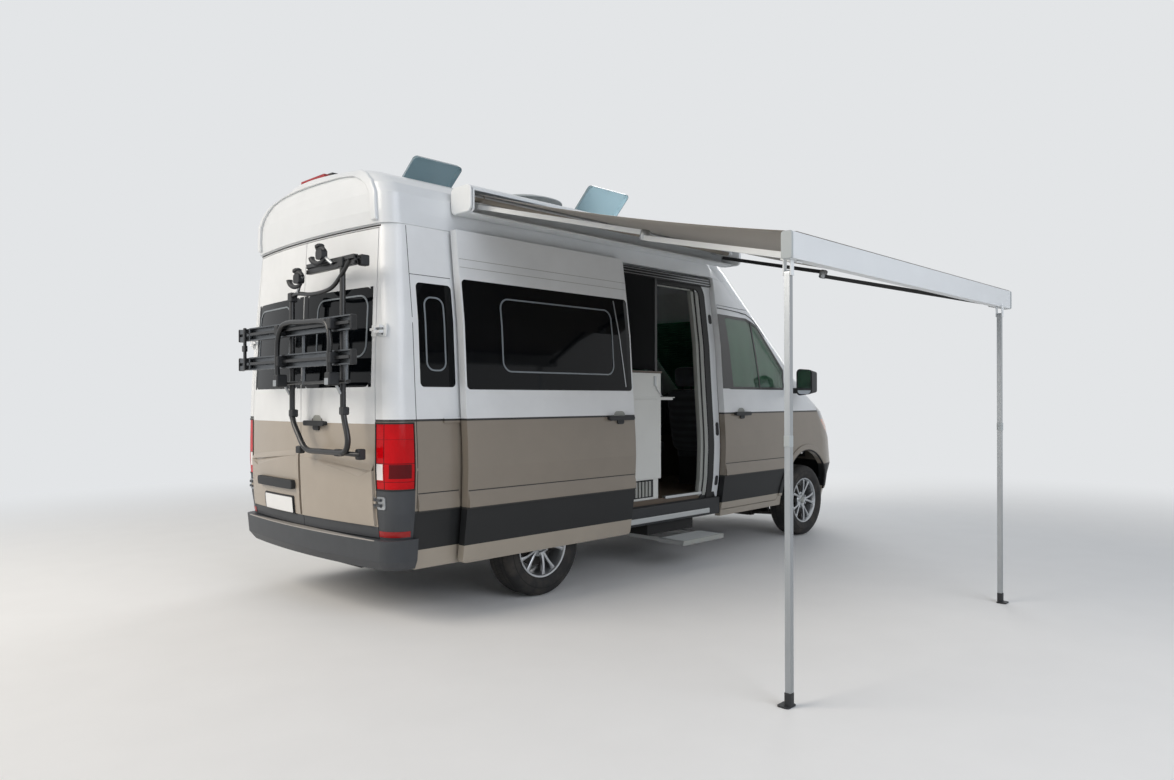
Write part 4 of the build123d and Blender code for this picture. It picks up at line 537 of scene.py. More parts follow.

# %% [markdown]
# Lamps are moulded in several colours under one clear skin, and the awning cloth is coloured
# greyer below than above, as painted shade. Such finishes are one colour with boxes of other
# colours laid over it, each box given by where it starts and ends on the van.

# %% Finishes with coloured zones


def zoned(name, code, zones, **inputs):
    """A finish of one colour with others in boxes: each zone has a colour and (axis, low, high) limits."""
    material, tree, shader = new_finish(name, **inputs)
    axes = add_node(tree, "SeparateXYZ", {0: van_millimetres(tree)}).outputs
    far_y = add_node(tree, "Math", {0: axes["Y"]}, operation="ABSOLUTE").outputs[0]
    values = {"x": axes["X"], "y": far_y, "z": axes["Z"]}
    noise = add_node(tree, "TexNoise", {"Vector": object_place(tree), "Scale": 14.0, "Detail": 3.0})
    shade = add_node(tree, "MapRange", {0: noise.outputs["Fac"], 1: 0.3, 2: 0.7, 3: 0.93, 4: 1.05})
    base = add_node(tree, "VectorMath", {0: linear(code)[:3], "Scale": shade.outputs[0]}, operation="SCALE")
    colour = base.outputs[0]
    for zone_code, limits in zones:
        share = None
        for axis, low, high in limits:
            near = {0: values[axis], 1: (low + high) / 2, 2: (high - low) / 2}
            test = add_node(tree, "Math", near, operation="COMPARE").outputs[0]
            both = {0: share, 1: test}
            share = test if share is None else add_node(tree, "Math", both, operation="MULTIPLY").outputs[0]
        colour = mixed(tree, share, colour, linear(zone_code))
    tree.links.new(colour, shader.inputs["Base Color"])
    return material, tree, shader


LAMP_ZONES = [
    ("E9E4E2", [("y", 840, 912), ("z", 905, 1002)]),
    ("5E0A10", [("y", 930, 1060), ("z", 915, 1000), ("x", -1262, -1140)]),
    ("6E0710", [("z", 1003, 1008)]),
    ("7A0912", [("z", 893, 897)]),
    ("8A0B14", [("z", 1150, 1153)]),
    ("5A060C", [("y", 920, 926)]),
    ("30060A", [("x", -1122, -1100)]),
]
tail_lamp_red, tree, shader = zoned(
    "tail_lamp_plastic", "C30611", LAMP_ZONES, Roughness=0.12, Specular_IOR_Level=0.18,
)
speckle(tree, shader, 9, 0.25, 0.8)
HEADLAMP_ZONES = [
    ("C9CFD3", [("y", 560, 690), ("z", 1085, 1180)]),
    ("1A1C1F", [("y", 575, 675), ("z", 1098, 1168)]),
    ("DDE2E5", [("y", 600, 650), ("z", 1110, 1156)]),
    ("C9CFD3", [("y", 715, 840), ("z", 1120, 1235)]),
    ("1A1C1F", [("y", 728, 828), ("z", 1133, 1222)]),
    ("DDE2E5", [("y", 752, 806), ("z", 1150, 1205)]),
    ("F0F2F3", [("z", 1010, 1024)]),
    ("C96A12", [("y", 880, 940), ("z", 1040, 1180)]),
]
headlamp_glass, tree, shader = zoned(
    "headlamp_under_clear_cover", "3A3F44", HEADLAMP_ZONES, Roughness=0.1, Coat_Weight=1.0,
    Coat_Roughness=0.02
)
speckle(tree, shader, 14, 0.2, 0.8)
# The rear bumper's face is its black plastic coloured lighter than on the sides, as painted sunlight. Its
# step top is coloured paler still, as a painted highlight.
BUMPER_STEP_HIGHLIGHT = [("A5A19C", [("x", -1420, -1306), ("z", 536, 560)])]
bumper_top = zoned("bumper_face_and_step_highlight", "3B3E42", BUMPER_STEP_HIGHLIGHT, Roughness=0.5)[0]

# %% [markdown]
# Awning cloth is coated polyester that lets a little light through. It is pale on top, and its
# underside is coloured greyer as painted shade. The weave is finer than a pixel, so its bump is
# drawn at four millimetres.
# Long soft waves across the cloth show where it hangs between roller and rail.

# %% Cloth, seat fabric, rubber and wood
awning_cloth, tree, shader = new_finish("coated_awning_polyester", Roughness=0.72, Sheen_Weight=0.15)
above = add_node(tree, "SeparateXYZ", {0: add_node(tree, "NewGeometry").outputs["Normal"]}).outputs["Z"]
upper = add_node(tree, "Math", {0: above, 1: 0.0}, operation="GREATER_THAN").outputs[0]
weave = add_node(tree, "TexNoise", {"Vector": object_place(tree), "Scale": 250.0, "Detail": 2.0})
seams = add_node(tree, "SeparateXYZ", {0: van_millimetres(tree)}).outputs["X"]
panel = add_node(tree, "Math", {0: seams, 1: 1 / 1180}, operation="MULTIPLY").outputs[0]
panel = add_node(tree, "Math", {0: panel}, operation="FRACT").outputs[0]
seam = add_node(tree, "Math", {0: panel, 1: 0.5, 2: 0.005}, operation="COMPARE").outputs[0]
# Faces turned down get the greyer colour: painted shade under the awning.
cloth = mixed(tree, upper, linear("938B80"), linear("D2D5D8"))
cloth = mixed(tree, seam, cloth, linear("9C968E"))
tree.links.new(cloth, shader.inputs["Base Color"])
bump = add_node(tree, "Bump", {"Height": weave.outputs["Fac"], "Strength": 0.2, "Distance": 0.0006})
tree.links.new(bump.outputs[0], shader.inputs["Normal"])


def woven(name, code, second, thread_mm, rough=0.9):
    """Woven cloth: two waves square to each other, their threads a real spacing apart, tint and bump it."""
    material, tree, shader = new_finish(name, Roughness=rough, Sheen_Weight=0.3)
    spot = object_place(tree)
    waves = [
        add_node(
            tree, "TexWave", {
                "Vector": spot, "Scale": 1000 / thread_mm / 6.28, "Distortion": 0.6, "Detail": 1.0,
            },
            bands_direction=direction,
        )
        for direction in ("X", "Z")
    ]
    heights = {0: waves[0].outputs["Fac"], 1: waves[1].outputs["Fac"]}
    thread = add_node(tree, "Math", heights, operation="MULTIPLY").outputs[0]
    blotch = add_node(tree, "TexNoise", {"Vector": spot, "Scale": 7.0, "Detail": 4.0}).outputs["Fac"]
    both = add_node(tree, "Math", {0: thread, 1: blotch}, operation="MULTIPLY").outputs[0]
    tree.links.new(mixed(tree, both, linear(code), linear(second)), shader.inputs["Base Color"])
    bump = add_node(tree, "Bump", {"Height": thread, "Strength": 0.35, "Distance": 0.001})
    tree.links.new(bump.outputs[0], shader.inputs["Normal"])
    return material


seat_cloth = woven("woven_seat_cloth", "26292D", "5A5F66", 6)
seat_centre = woven("seat_centre_cloth", "4A4D52", "8C9096", 9)
bed_cloth = woven("mattress_ticking", "A7A39B", "D6D2C8", 8)
blind_green = woven("pleated_blind_cloth", "2C7455", "479476", 12)
dark_wood, tree, shader = new_finish("dark_wood_laminate", Roughness=0.4, Coat_Weight=0.2)
grain_place = add_node(tree, "Mapping", {"Vector": object_place(tree), "Scale": (6.0, 6.0, 60.0)})
grain = add_node(
    tree, "TexNoise", {"Vector": grain_place.outputs[0], "Scale": 2.0, "Detail": 6.0, "Distortion": 0.8},
)
tint = add_node(tree, "ValToRGB", {0: grain.outputs["Fac"]})
WOOD_STOPS = [(0.25, linear("2A211B")), (0.5, linear("43352A")), (0.8, linear("5C4A3B"))]
set_ramp(tint.color_ramp, WOOD_STOPS, smooth=True)
tree.links.new(tint.outputs[0], shader.inputs["Base Color"])
bump = add_node(tree, "Bump", {"Height": grain.outputs["Fac"], "Strength": 0.1, "Distance": 0.0004})
tree.links.new(bump.outputs[0], shader.inputs["Normal"])

# %% [markdown]
# A tyre's tread is grooves and sipes cut into black rubber. The tyres keep few faces, so the
# tread is a bump: two round grooves by the distance across the tread, and slanting sipes by
# the distance round it. Both distances are the tyre's own map, in millimetres.

# %% Tyre rubber
GROOVE_AT = 27
GROOVE_HALF = 4.5
SIPE_PITCH = 32
TREAD_HALF = 84
tyre_rubber, tree, shader = new_finish("tyre_rubber", Roughness=0.78)
wrap = add_node(tree, "SeparateXYZ", {0: add_node(tree, "UVMap", uv_map="wrap").outputs[0]}).outputs
across = add_node(tree, "Math", {0: wrap["Y"]}, operation="ABSOLUTE").outputs[0]
groove = add_node(tree, "Math", {0: across, 1: GROOVE_AT, 2: GROOVE_HALF}, operation="COMPARE").outputs[0]
second = add_node(tree, "Math", {0: across, 1: 62, 2: GROOVE_HALF}, operation="COMPARE").outputs[0]
slant = add_node(tree, "Math", {0: across, 1: 0.5, 2: wrap["X"]}, operation="MULTIPLY_ADD").outputs[0]
cycle = add_node(tree, "Math", {0: slant, 1: 1 / SIPE_PITCH}, operation="MULTIPLY").outputs[0]
cycle = add_node(tree, "Math", {0: cycle}, operation="FRACT").outputs[0]
sipe = add_node(tree, "Math", {0: cycle, 1: 0.14}, operation="LESS_THAN").outputs[0]
tread = add_node(tree, "Math", {0: across, 1: TREAD_HALF}, operation="LESS_THAN").outputs[0]
ring = add_node(tree, "Math", {0: across, 1: 150, 2: 3}, operation="COMPARE").outputs[0]
cuts = add_node(tree, "Math", {0: groove, 1: second}, operation="ADD").outputs[0]
cuts = add_node(tree, "Math", {0: cuts, 1: sipe}, operation="MAXIMUM").outputs[0]
cuts = add_node(tree, "Math", {0: cuts, 1: tread}, operation="MULTIPLY").outputs[0]
cuts = add_node(tree, "Math", {0: cuts, 1: ring}, operation="ADD").outputs[0]
depth = add_node(tree, "Math", {0: 1.0, 1: cuts}, operation="SUBTRACT").outputs[0]
bump = add_node(tree, "Bump", {"Height": depth, "Strength": 0.9, "Distance": 0.006})
tree.links.new(bump.outputs[0], shader.inputs["Normal"])
dust = add_node(tree, "TexNoise", {"Vector": object_place(tree), "Scale": 9.0, "Detail": 6.0}).outputs["Fac"]
dust = add_node(tree, "MapRange", {0: dust, 1: 0.45, 2: 0.75, 3: 0.0, 4: 0.6}).outputs[0]
worn = mixed(tree, dust, linear("19191A"), linear("4A443D"))
# Grooves, sipes and the sidewall ring are coloured near black: painted shade in the cuts.
tree.links.new(mixed(tree, cuts, worn, linear("0B0B0B")), shader.inputs["Base Color"])
print("materials", len(bpy.data.materials))

# %% [markdown]
# The CAD nodes whose shape is right keep it and only get their finish.

# %% Finishes of the CAD nodes
NODE_FINISHES = {
    side_paint: (
        "body_side_left", "body_side_right", "cab_frame", "front_wings", "bonnet", "front_bumper",
        "front_door_left", "front_door_right", "sliding_door",
    ),
    rear_paint: ("rear_door_left", "rear_door_right"),
    gel_coat: ("high_roof",),
    grained_plastic: ("grille", "mirror_left", "mirror_right", "dashboard"),
    headlamp_glass: ("headlamps",),
    tail_lamp_red: ("tail_lamps",),
    bumper_top: ("rear_bumper",),
    cab_glass: ("windscreen", "door_glass_left", "door_glass_right"),
    black_glass: ("sliding_door_glass", "side_windows", "rear_glass_left", "rear_glass_right"),
    floor_vinyl: ("floor_pan",),
    chassis_black: ("underfloor", "engine_block"),
    steel_dark: ("axles", "knuckle_left", "knuckle_right"),
    seat_cloth: ("cab_seats",),
    laminate_white: ("kitchen_unit",),
    dark_wood: ("cupboards",),
    bed_cloth: ("rear_bed",),
    acrylic: ("roof_lid_rear", "roof_lid_front"),
    dish_grey: ("dish_turntable", "satellite_dish"),
    powder_white: ("awning_case", "awning_rail", "upper_arm_rear", "forearm_rear"),
    powder_dark: ("upper_arm_front", "forearm_front"),
    awning_cloth: ("awning_fabric",),
    leg_aluminium: ("awning_leg_rear", "awning_leg_front"),
    anodised_dark: ("carrier_platform",),
    sill_aluminium: ("entry_step",),
    powder_black: ("carrier_frame",),
    tyre_rubber: ("tyre_front_left", "tyre_front_right", "tyre_rear_left", "tyre_rear_right"),
    cast_alloy: ("rim_front_left", "rim_front_right", "rim_rear_left", "rim_rear_right"),
}
for finish, names in NODE_FINISHES.items():
    for node in names:
        materials = nodes[node].data.materials
        materials.clear()
        materials.append(finish)
print("finished nodes", sum(len(names) for names in NODE_FINISHES.values()), "of", len(nodes))

# %% [markdown]
# The studio floor is large and pale. It isn't part of the van.

# %% Studio floor
FADE_FROM, FADE_TO = 4.6, 10.5
floor_finish = grained("studio_floor", "F1F1F0", 0.8, 40, 0.2, 0.01)
tree = floor_finish.node_tree
ground_shader = next(node for node in tree.nodes if node.type == "BSDF_PRINCIPLED")
ground_output = next(node for node in tree.nodes if node.type == "OUTPUT_MATERIAL")
centre = tuple(place((1500, -700, 0)).tolist())
away = add_node(tree, "VectorMath", {0: object_place(tree), 1: centre}, operation="DISTANCE").outputs["Value"]
fade = {"Value": away, "From Min": FADE_FROM, "From Max": FADE_TO, "To Min": 0.0, "To Max": 1.0}
fade = add_node(tree, "MapRange", fade, interpolation_type="SMOOTHSTEP").outputs[0]
path = add_node(tree, "LightPath")
seen = add_node(
    tree, "Math", {0: path.outputs["Is Camera Ray"], 1: path.outputs["Is Glossy Ray"]}, operation="MAXIMUM",
)
seen = add_node(
    tree, "Math", {0: seen.outputs[0], 1: path.outputs["Is Transmission Ray"]}, operation="MAXIMUM",
)
share = add_node(tree, "Math", {0: fade, 1: seen.outputs[0]}, operation="MULTIPLY").outputs[0]
pale = add_node(tree, "Emission", {"Color": linear(BACKDROP), "Strength": 1.0})
ground = add_node(tree, "MixShader", {0: share, 1: ground_shader.outputs[0], 2: pale.outputs[0]})
tree.links.new(ground.outputs[0], ground_output.inputs["Surface"])
floor_mesh = bpy.data.meshes.new("studio_floor")
span = np.array([[-1, -1, 0], [1, -1, 0], [1, 1, 0], [-1, 1, 0]]) * FLOOR_HALF
floor_mesh.from_pydata(span.tolist(), [], [[0, 1, 2, 3]])
floor_mesh.materials.append(floor_finish)
floor = bpy.data.objects.new("studio_floor", floor_mesh)
bpy.context.scene.collection.objects.link(floor)

# %% [markdown]
# Trim on a vehicle has to lie on curved panels. The side panel's distance from the middle
# depends only on the height, and the tail is also an arc across, so two functions give the
# surface. A third follows the tail, rounds the corner and runs on along the side.

# %% Surfaces of the body
HALF_WIDTH = 1020.0
REAR_FACE = -1335.0
SKIN_Z = np.array([345.0, 700, 960, 1100, 1260, 1500, 1880, 2230, 2480])
SKIN_TUCK = np.array([65.0, 12, 0, 4, 14, 30, 52, 95, 125])
SKIN_REAR_IN = np.array([45.0, 10, 0, 0, 0, 2, 20, 35, 50])
CORNER_DEPTH, CORNER_WIDTH, CORNER_LENGTH, CORNER_BULGE = 60.0, 95.0, 180.0, 0.18
DOOR_OUT = 85.0


def flank(x, z, proud=0.0, side=-1, out=0.0):
    """Point on the body side: half the width less the tuck at that height, plus how far it stands proud."""
    x, z = np.broadcast_arrays(np.asarray(x, float), np.asarray(z, float))
    half = HALF_WIDTH - np.interp(z, SKIN_Z, SKIN_TUCK) + proud + out
    return np.stack([x, side * half, z], axis=-1)


SHOULDER = np.array([4000.0, 4000, 4000, 3950, 3880, 3450, 3000, 2650, 2350])
SHOULDER_Y_TUCK = np.array([115.0, 55, 55, 65, 85, 120, 150, 178, 190])
CORNER = np.array([4400.0, 4470, 4420, 4380, 4250, 3850, 3405, 2990, 2700])
CORNER_Y = np.array([700.0, 760, 760, 765, 780, 790, 755, 720, 690])
STRAIGHT_TO = 2092.0


def cab_side(x, z, proud=0.0, side=-1):
    """Point on the cab's side: straight to the shoulder, then bulging to the front corner, by height."""
    x, z = np.broadcast_arrays(np.asarray(x, float), np.asarray(z, float))
    half = HALF_WIDTH - np.interp(z, SKIN_Z, SKIN_TUCK)
    shoulder_x, shoulder_y = np.interp(z, SKIN_Z, SHOULDER), HALF_WIDTH - np.interp(
        z, SKIN_Z, SHOULDER_Y_TUCK,
    )
    corner_x, corner_y = np.interp(z, SKIN_Z, CORNER), np.interp(z, SKIN_Z, CORNER_Y)
    first = np.clip((x - STRAIGHT_TO) / (shoulder_x - STRAIGHT_TO), 0, 1)
    second = np.clip((x - shoulder_x) / (corner_x - shoulder_x), 0, 1)
    chord = (corner_x - shoulder_x) ** 2 + (corner_y - shoulder_y) ** 2
    rise = 0.4 * second * (1 - second) * chord / (corner_x - shoulder_x)
    y = half + (shoulder_y - half) * first + (corner_y - shoulder_y) * second + rise + proud
    return np.stack([x, side * y, z], axis=-1)


def tail(y, z, proud=0.0):
    """Point on the tail: an arc across the width whose ends lie a corner depth further forward."""
    y, z = np.broadcast_arrays(np.asarray(y, float), np.asarray(z, float))
    edge = HALF_WIDTH - np.interp(z, SKIN_Z, SKIN_TUCK) - CORNER_WIDTH
    radius = (edge**2 + CORNER_DEPTH**2) / (2 * CORNER_DEPTH)
    inward = radius - np.sqrt(radius**2 - y**2)
    x = REAR_FACE + np.interp(z, SKIN_Z, SKIN_REAR_IN) + inward - proud
    return np.stack([x, y, z], axis=-1)


def corner(start_y, end_x, z, proud, side=-1, steps=14):
    """Points at one height along the tail from a Y, round the rear corner, and along the side to an X."""
    half = HALF_WIDTH - np.interp(z, SKIN_Z, SKIN_TUCK)
    rear = REAR_FACE + np.interp(z, SKIN_Z, SKIN_REAR_IN)
    edge, end = np.array([rear + CORNER_DEPTH, half - CORNER_WIDTH]), np.array([rear + CORNER_LENGTH, half])
    across = tail(np.linspace(abs(start_y), edge[1], 6), z)[:, :2]
    middle = (edge + end) / 2 + np.array([-(end - edge)[1], (end - edge)[0]]) * CORNER_BULGE
    share = np.linspace(0, 1, steps)[1:, None]
    pull = 2 * middle - (edge + end) / 2
    bend = (1 - share) ** 2 * edge + 2 * share * (1 - share) * pull + share**2 * end
    run = np.array([[end_x, half]]) if end_x > end[0] else np.zeros((0, 2))
    flat = np.concatenate([across, bend, run])
    away = np.gradient(flat, axis=0)[:, ::-1] * (-1, 1)
    away /= np.linalg.norm(away, axis=1, keepdims=True)
    flat = flat + away * proud
    return np.stack([flat[:, 0], side * flat[:, 1], np.full(len(flat), float(z))], axis=1)


def finer(outline, step=60.0):
    """The same closed outline with points added, so that no stretch of it is longer than the step."""
    outline = np.asarray(outline, float)
    ahead = np.roll(outline, -1, 0) - outline
    count = np.maximum(1, np.ceil(np.linalg.norm(ahead, axis=1) / step)).astype(int)
    start = np.repeat(np.arange(len(outline)), count)
    share = (np.arange(count.sum()) - np.repeat(np.cumsum(count) - count, count)) / np.repeat(count, count)
    return outline[start] + ahead[start] * share[:, None]


def band(surface, outline, width, low, high, closed=True):
    """Flat bar on a surface: its outline moved in and out by half the width, at two heights over the skin."""
    outline = finer(outline) if closed else np.asarray(outline, float)
    ahead = np.roll(outline, -1, 0) - np.roll(outline, 1, 0) if closed else np.gradient(outline, axis=0)
    away = np.stack([ahead[:, 1], -ahead[:, 0]], axis=1) / np.linalg.norm(ahead, axis=1, keepdims=True)
    inner, outer = outline - away * width / 2, outline + away * width / 2
    rows = [surface(inner[:, 0], inner[:, 1], low), surface(outer[:, 0], outer[:, 1], low)]
    rows += [surface(outer[:, 0], outer[:, 1], high), surface(inner[:, 0], inner[:, 1], high)]
    points = np.stack(rows, axis=1).reshape(-1, 3)
    faces = grid_faces(len(outline), 4, closed, True)
    if not closed:
        last = len(points) - 4
        faces += [[0, 1, 2, 3], [last + 3, last + 2, last + 1, last]]
    return points, faces


def sheet_on(surface, outline, low, high):
    """Plate on a surface: the outline shrunk towards its middle in rings, at two heights over the skin."""
    outline = finer(outline)
    middle = (outline.min(axis=0) + outline.max(axis=0)) / 2
    rings = int(np.ceil(np.abs(outline - middle).max() / 70)) + 1
    shares = [0.0] + [1.0] + np.linspace(1, 0, rings).tolist()
    heights = [low, low] + [high] * rings
    flat = middle + (outline - middle) * np.array(shares)[:, None, None]
    rows = surface(flat[..., 0], flat[..., 1], np.array(heights, float)[:, None])
    return rows.reshape(-1, 3), grid_faces(len(shares), len(outline), False, True)


def box_outline(low_a, high_a, low_z, high_z, radius, steps=6):
    """Rounded rectangle between two values on each axis of a surface."""
    shape = rounded_outline(high_a - low_a, high_z - low_z, radius, steps)
    return shape + ((low_a + high_a) / 2, (low_z + high_z) / 2)


def right_door(x, z, proud):
    """Surface of the sliding door, which stands back and out from the side."""
    return flank(x, z, proud, -1, DOOR_OUT)


def right_side(x, z, proud):
    """Surface of the right side."""
    return flank(x, z, proud, -1)


def left_side(x, z, proud):
    """Surface of the left side."""
    return flank(x, z, proud, 1)


def right_cab(x, z, proud):
    """Surface of the right front door and wing."""
    return cab_side(x, z, proud, -1)


def left_cab(x, z, proud):
    """Surface of the left front door and wing."""
    return cab_side(x, z, proud, 1)


# %% [markdown]
# The side windows are bonded panes with an opening frame inside them, seen as a thin raised
# line. Such a line is a flat bar laid on the glass along a rounded outline.

# %% Window frames and the bright strip
PANE_LINE = 10
frame_grey = grained("window_frame_grey", "7C8388", 0.3, 2, 0.05, 0.05)
make_piece(
    "sliding_window_frame", *band(right_door, box_outline(-460, 620, 1576, 2060, 70, 10), PANE_LINE, -1, 4),
    frame_grey, "van", "bumper_plastic",
)
strip_path = np.stack([np.linspace(664, 748, 12), np.linspace(2140, 1485, 12)], axis=1)
make_piece(
    "sliding_window_strip", *band(right_door, strip_path, 9, -1, 5, False), zinc_steel, "van", "leg_aluminium"
)
for name, surface in (("right", right_side), ("left", left_side)):
    shape = box_outline(-1005, -862, 1574, 2032, 55, 8)
    make_piece(
        f"quarter_frame_{name}", *band(surface, shape, PANE_LINE, -1, 4), frame_grey, "van", "bumper_plastic",
    )
make_piece(
    "left_window_frame", *band(left_side, box_outline(1370, 2020, 1560, 1990, 60, 8), PANE_LINE, -1, 4),
    frame_grey, "van", "bumper_plastic",
)
REAR_FRAME = box_outline(-740, -190, 1660, 2040, 80, 10)
make_piece(
    "rear_frame_right", *band(tail, REAR_FRAME, PANE_LINE, -1, 4), frame_grey, "door_rear_right",
    "bumper_plastic",
)
make_piece(
    "rear_frame_left", *band(tail, REAR_FRAME * (-1, 1), PANE_LINE, -1, 4), frame_grey, "door_rear_left",
    "bumper_plastic"
)

# %% [markdown]
# Where two sheets of steel meet there is a dark seam. It is a narrow bar in the rubber's
# finish, nearly flush with the paint, at the rear corner and over the quarter window.

# %% Seams of the quarter panels
SEAM = 4
for name, surface in (("right", right_side), ("left", left_side)):
    upright = np.stack([np.full(30, -1098.0), np.linspace(462, 2472, 30)], axis=1)
    cross = np.stack([np.linspace(-1096, -790, 8), np.full(8, 2168.0)], axis=1)
    shape = joined(band(surface, upright, SEAM, -2, 0.6, False), band(surface, cross, SEAM, -2, 0.6, False))
    make_piece(f"quarter_seams_{name}", *shape, seal_rubber, "van", "bumper_plastic")

# %% [markdown]
# Each door handle is a black pull bar in front of a round hollow for the fingers. The bar is
# a rounded plate that stands off the door, with a boss for the lock below it, and the
# hollow's rolled edge is a ring.

# %% Door handles
HANDLE_DEPTH = 34


def handle(name, surface, low_a, high_a, z, body, lock_below=True):
    """A pull bar with its two feet, a lock boss, and the rolled edge and floor of the finger hollow."""
    middle = (low_a + high_a) / 2
    width = high_a - low_a
    bar = sheet_on(surface, box_outline(low_a, high_a, z - 17, z + 17, 16), HANDLE_DEPTH - 16, HANDLE_DEPTH)
    feet = [
        sheet_on(surface, box_outline(a - 24, a + 24, z - 14, z + 14, 12), -2, HANDLE_DEPTH - 12)
        for a in (low_a + 30, high_a - 30)
    ]
    lock = sheet_on(surface, box_outline(middle - 36, middle + 36, z - 46, z - 8, 18), -2, 14)
    ring = box_outline(middle - width * 0.24, middle + width * 0.24, z - 30, z + 56, 42, 10)
    make_piece(
        f"{name}_pull", *joined(bar, *feet, *([lock] if lock_below else [])), grained_plastic, body,
        "bumper_plastic",
    )
    make_piece(f"{name}_hollow_edge", *band(surface, ring, 7, -1, 2.5), side_paint, body, "body_paint")
    make_piece(f"{name}_hollow", *sheet_on(surface, ring, -2, 0.8), trim_grey, body, "bumper_plastic")


handle("sliding_handle", right_door, 520, 800, 1250, "van")
handle("front_handle_right", right_cab, 2310, 2570, 1258, "door_front_right")
handle("front_handle_left", left_cab, 2310, 2570, 1258, "door_front_left")
handle("rear_handle", tail, -345, -90, 1240, "door_rear_right")

# %% [markdown]
# The left rear door carries the number plate under a dark strip with its lamps. The plate
# stays blank: a pressed aluminium sheet with a raised rim, coated white.

# %% Plate and lamp strip
PLATE = (95, 552, 622, 732)
plate_white = grained("reflective_plate_white", "E9EAEA", 0.35, 3, 0.1, 0.02)
make_piece(
    "blank_plate", *sheet_on(tail, box_outline(*PLATE, 12), 18, 26), plate_white, "door_rear_left",
    "body_paint",
)
make_piece(
    "blank_plate_rim", *band(tail, box_outline(*PLATE, 12), 5, 18, 28), powder_black, "door_rear_left",
    "bumper_plastic",
)
holder = (PLATE[0] - 12, PLATE[1] + 12, PLATE[2] - 8, PLATE[3] + 8)
make_piece(
    "plate_holder", *sheet_on(tail, box_outline(*holder, 14), -2, 20), grained_plastic, "door_rear_left",
    "bumper_plastic",
)
make_piece(
    "plate_lamp_strip", *sheet_on(tail, box_outline(60, 640, 788, 850, 18), -2, 48), grained_plastic,
    "door_rear_left", "bumper_plastic", bevel=5,
)

# %% [markdown]
# Reflectors and hinge brackets run round the rear corner. A strip over several heights is a
# grid: the corner's line at each height, then the same lines moved out.

# %% Reflectors and hinge brackets


def corner_strip(start_y, end_x, heights, low, high, side):
    """Plate round the corner: the corner line at each height, under and over, closed into one skin."""
    outer = np.stack([corner(start_y, end_x, z, high, side) for z in heights])
    inner = np.stack([corner(start_y, end_x, z, low, side) for z in heights])
    count = outer.shape[1]
    ring = np.concatenate([outer, inner[::-1]]).reshape(-1, 3)
    rows = 2 * len(heights)
    faces = grid_faces(rows, count, True)
    first = [row * count for row in range(rows)]
    last = [row * count + count - 1 for row in range(rows)]
    return ring, faces + [first, last[::-1]]


for name, side in (("right", -1), ("left", 1)):
    make_piece(
        f"reflector_{name}", *corner_strip(-850, -1140, (556, 592), 0, 3, side), red_lens, "van", "lamp_red",
    )
    for level, low_z, finish in (("upper", 1776, powder_white), ("lower", 726, zinc_steel)):
        outline = box_outline(858, 926, low_z, low_z + 77, 10) * (side, 1)
        # Black discs in each bracket's two holes: painted shade in the holes.
        holes = [rounded_outline(13, 22, 6, 4) + (side * 892, low_z + rise) for rise in (20, 57)]
        dark = [sheet_on(tail, hole, 4, 6.5) for hole in holes]
        make_piece(
            f"hinge_bracket_{level}_{name}", *sheet_on(tail, outline, -1, 6), finish, "van", "body_paint",
        )
        make_piece(f"hinge_hole_shades_{level}_{name}", *joined(*dark), powder_black, "van", "bumper_plastic")
    door = "door_rear_right" if side < 0 else "door_rear_left"
    for level, low_z, finish in (("upper", 1778, powder_white), ("lower", 728, zinc_steel)):
        outline = box_outline(790, 838, low_z, low_z + 72, 8) * (side, 1)
        make_piece(f"hinge_strap_{level}_{name}", *sheet_on(tail, outline, -1, 5), finish, door, "body_paint")
    sensors = []
    for y in (150, 741):
        disc = rounded_outline(24, 24, 11.9, 7) + (side * y, 400)
        sensors.append(sheet_on(lambda a, z, p: tail(a, z, p + 18), disc, -6, 4))
    make_piece(f"parking_sensors_{name}", *joined(*sensors), grained_plastic, "van", "bumper_plastic")

# %% [markdown]
# The doorway shows the layers that the closed door hides: a black rubber seal round the
# opening, a grey inner trim, lock plates on the white post, a dark sill with a bright
# scuff strip, and the door's black upper track.

# %% Doorway
ENTRY = (528, 1900, 520, 2420)
POST_INSET = -60


def doorway(x, z, proud):
    """Surface of the doorway's inner frame, one wall behind the outer skin."""
    return flank(x, z, proud + POST_INSET)


opening = box_outline(*ENTRY, 46, 8)
make_piece("doorway_seal", *band(doorway, opening, 16, -4, 14), seal_rubber, "van", "bumper_plastic", bevel=5)
make_piece(
    "doorway_trim", *band(
        doorway, box_outline(ENTRY[0] + 2, ENTRY[1] - 2, ENTRY[2] + 2, ENTRY[3] - 2, 44, 8), 10, -62, -1,
    ),
    trim_grey, "van", "furniture_white",
)
post_white = grained("post_paint_white", "DADDDF", 0.3, 4, 0.05, 0.02, Coat_Weight=0.3)
make_piece(
    "post_cover", *sheet_on(doorway, box_outline(1916, 2146, 440, 2470, 10), -3, 2), post_white, "van",
    "body_paint"
)
plates = [(2108, 1066, 1184), (2108, 622, 710), (2104, 2064, 2148)]
shapes = [sheet_on(doorway, box_outline(x - 19, x + 19, low, high, 18), 0, 8) for x, low, high in plates]
make_piece("lock_plates", *joined(*shapes), grained_plastic, "van", "bumper_plastic")
turn_seal = np.radians(np.linspace(0, 90, 9))
seal_path = np.concatenate([
    np.stack([np.full(26, 2008.0), np.linspace(470, 2300, 26)], axis=1),
    np.stack([1908 + 100 * np.cos(turn_seal), 2300 + 100 * np.sin(turn_seal)], axis=1)[1:],
    np.stack([np.linspace(1880, 560, 20), np.full(20, 2400.0)], axis=1),
])
make_piece(
    "door_rubber", *band(doorway, seal_path, 82, -2, 13, False), seal_rubber, "van", "bumper_plastic",
    bevel=6,
)
inner_path = np.stack([np.full(24, 1909.0), np.linspace(548, 2340, 24)], axis=1)
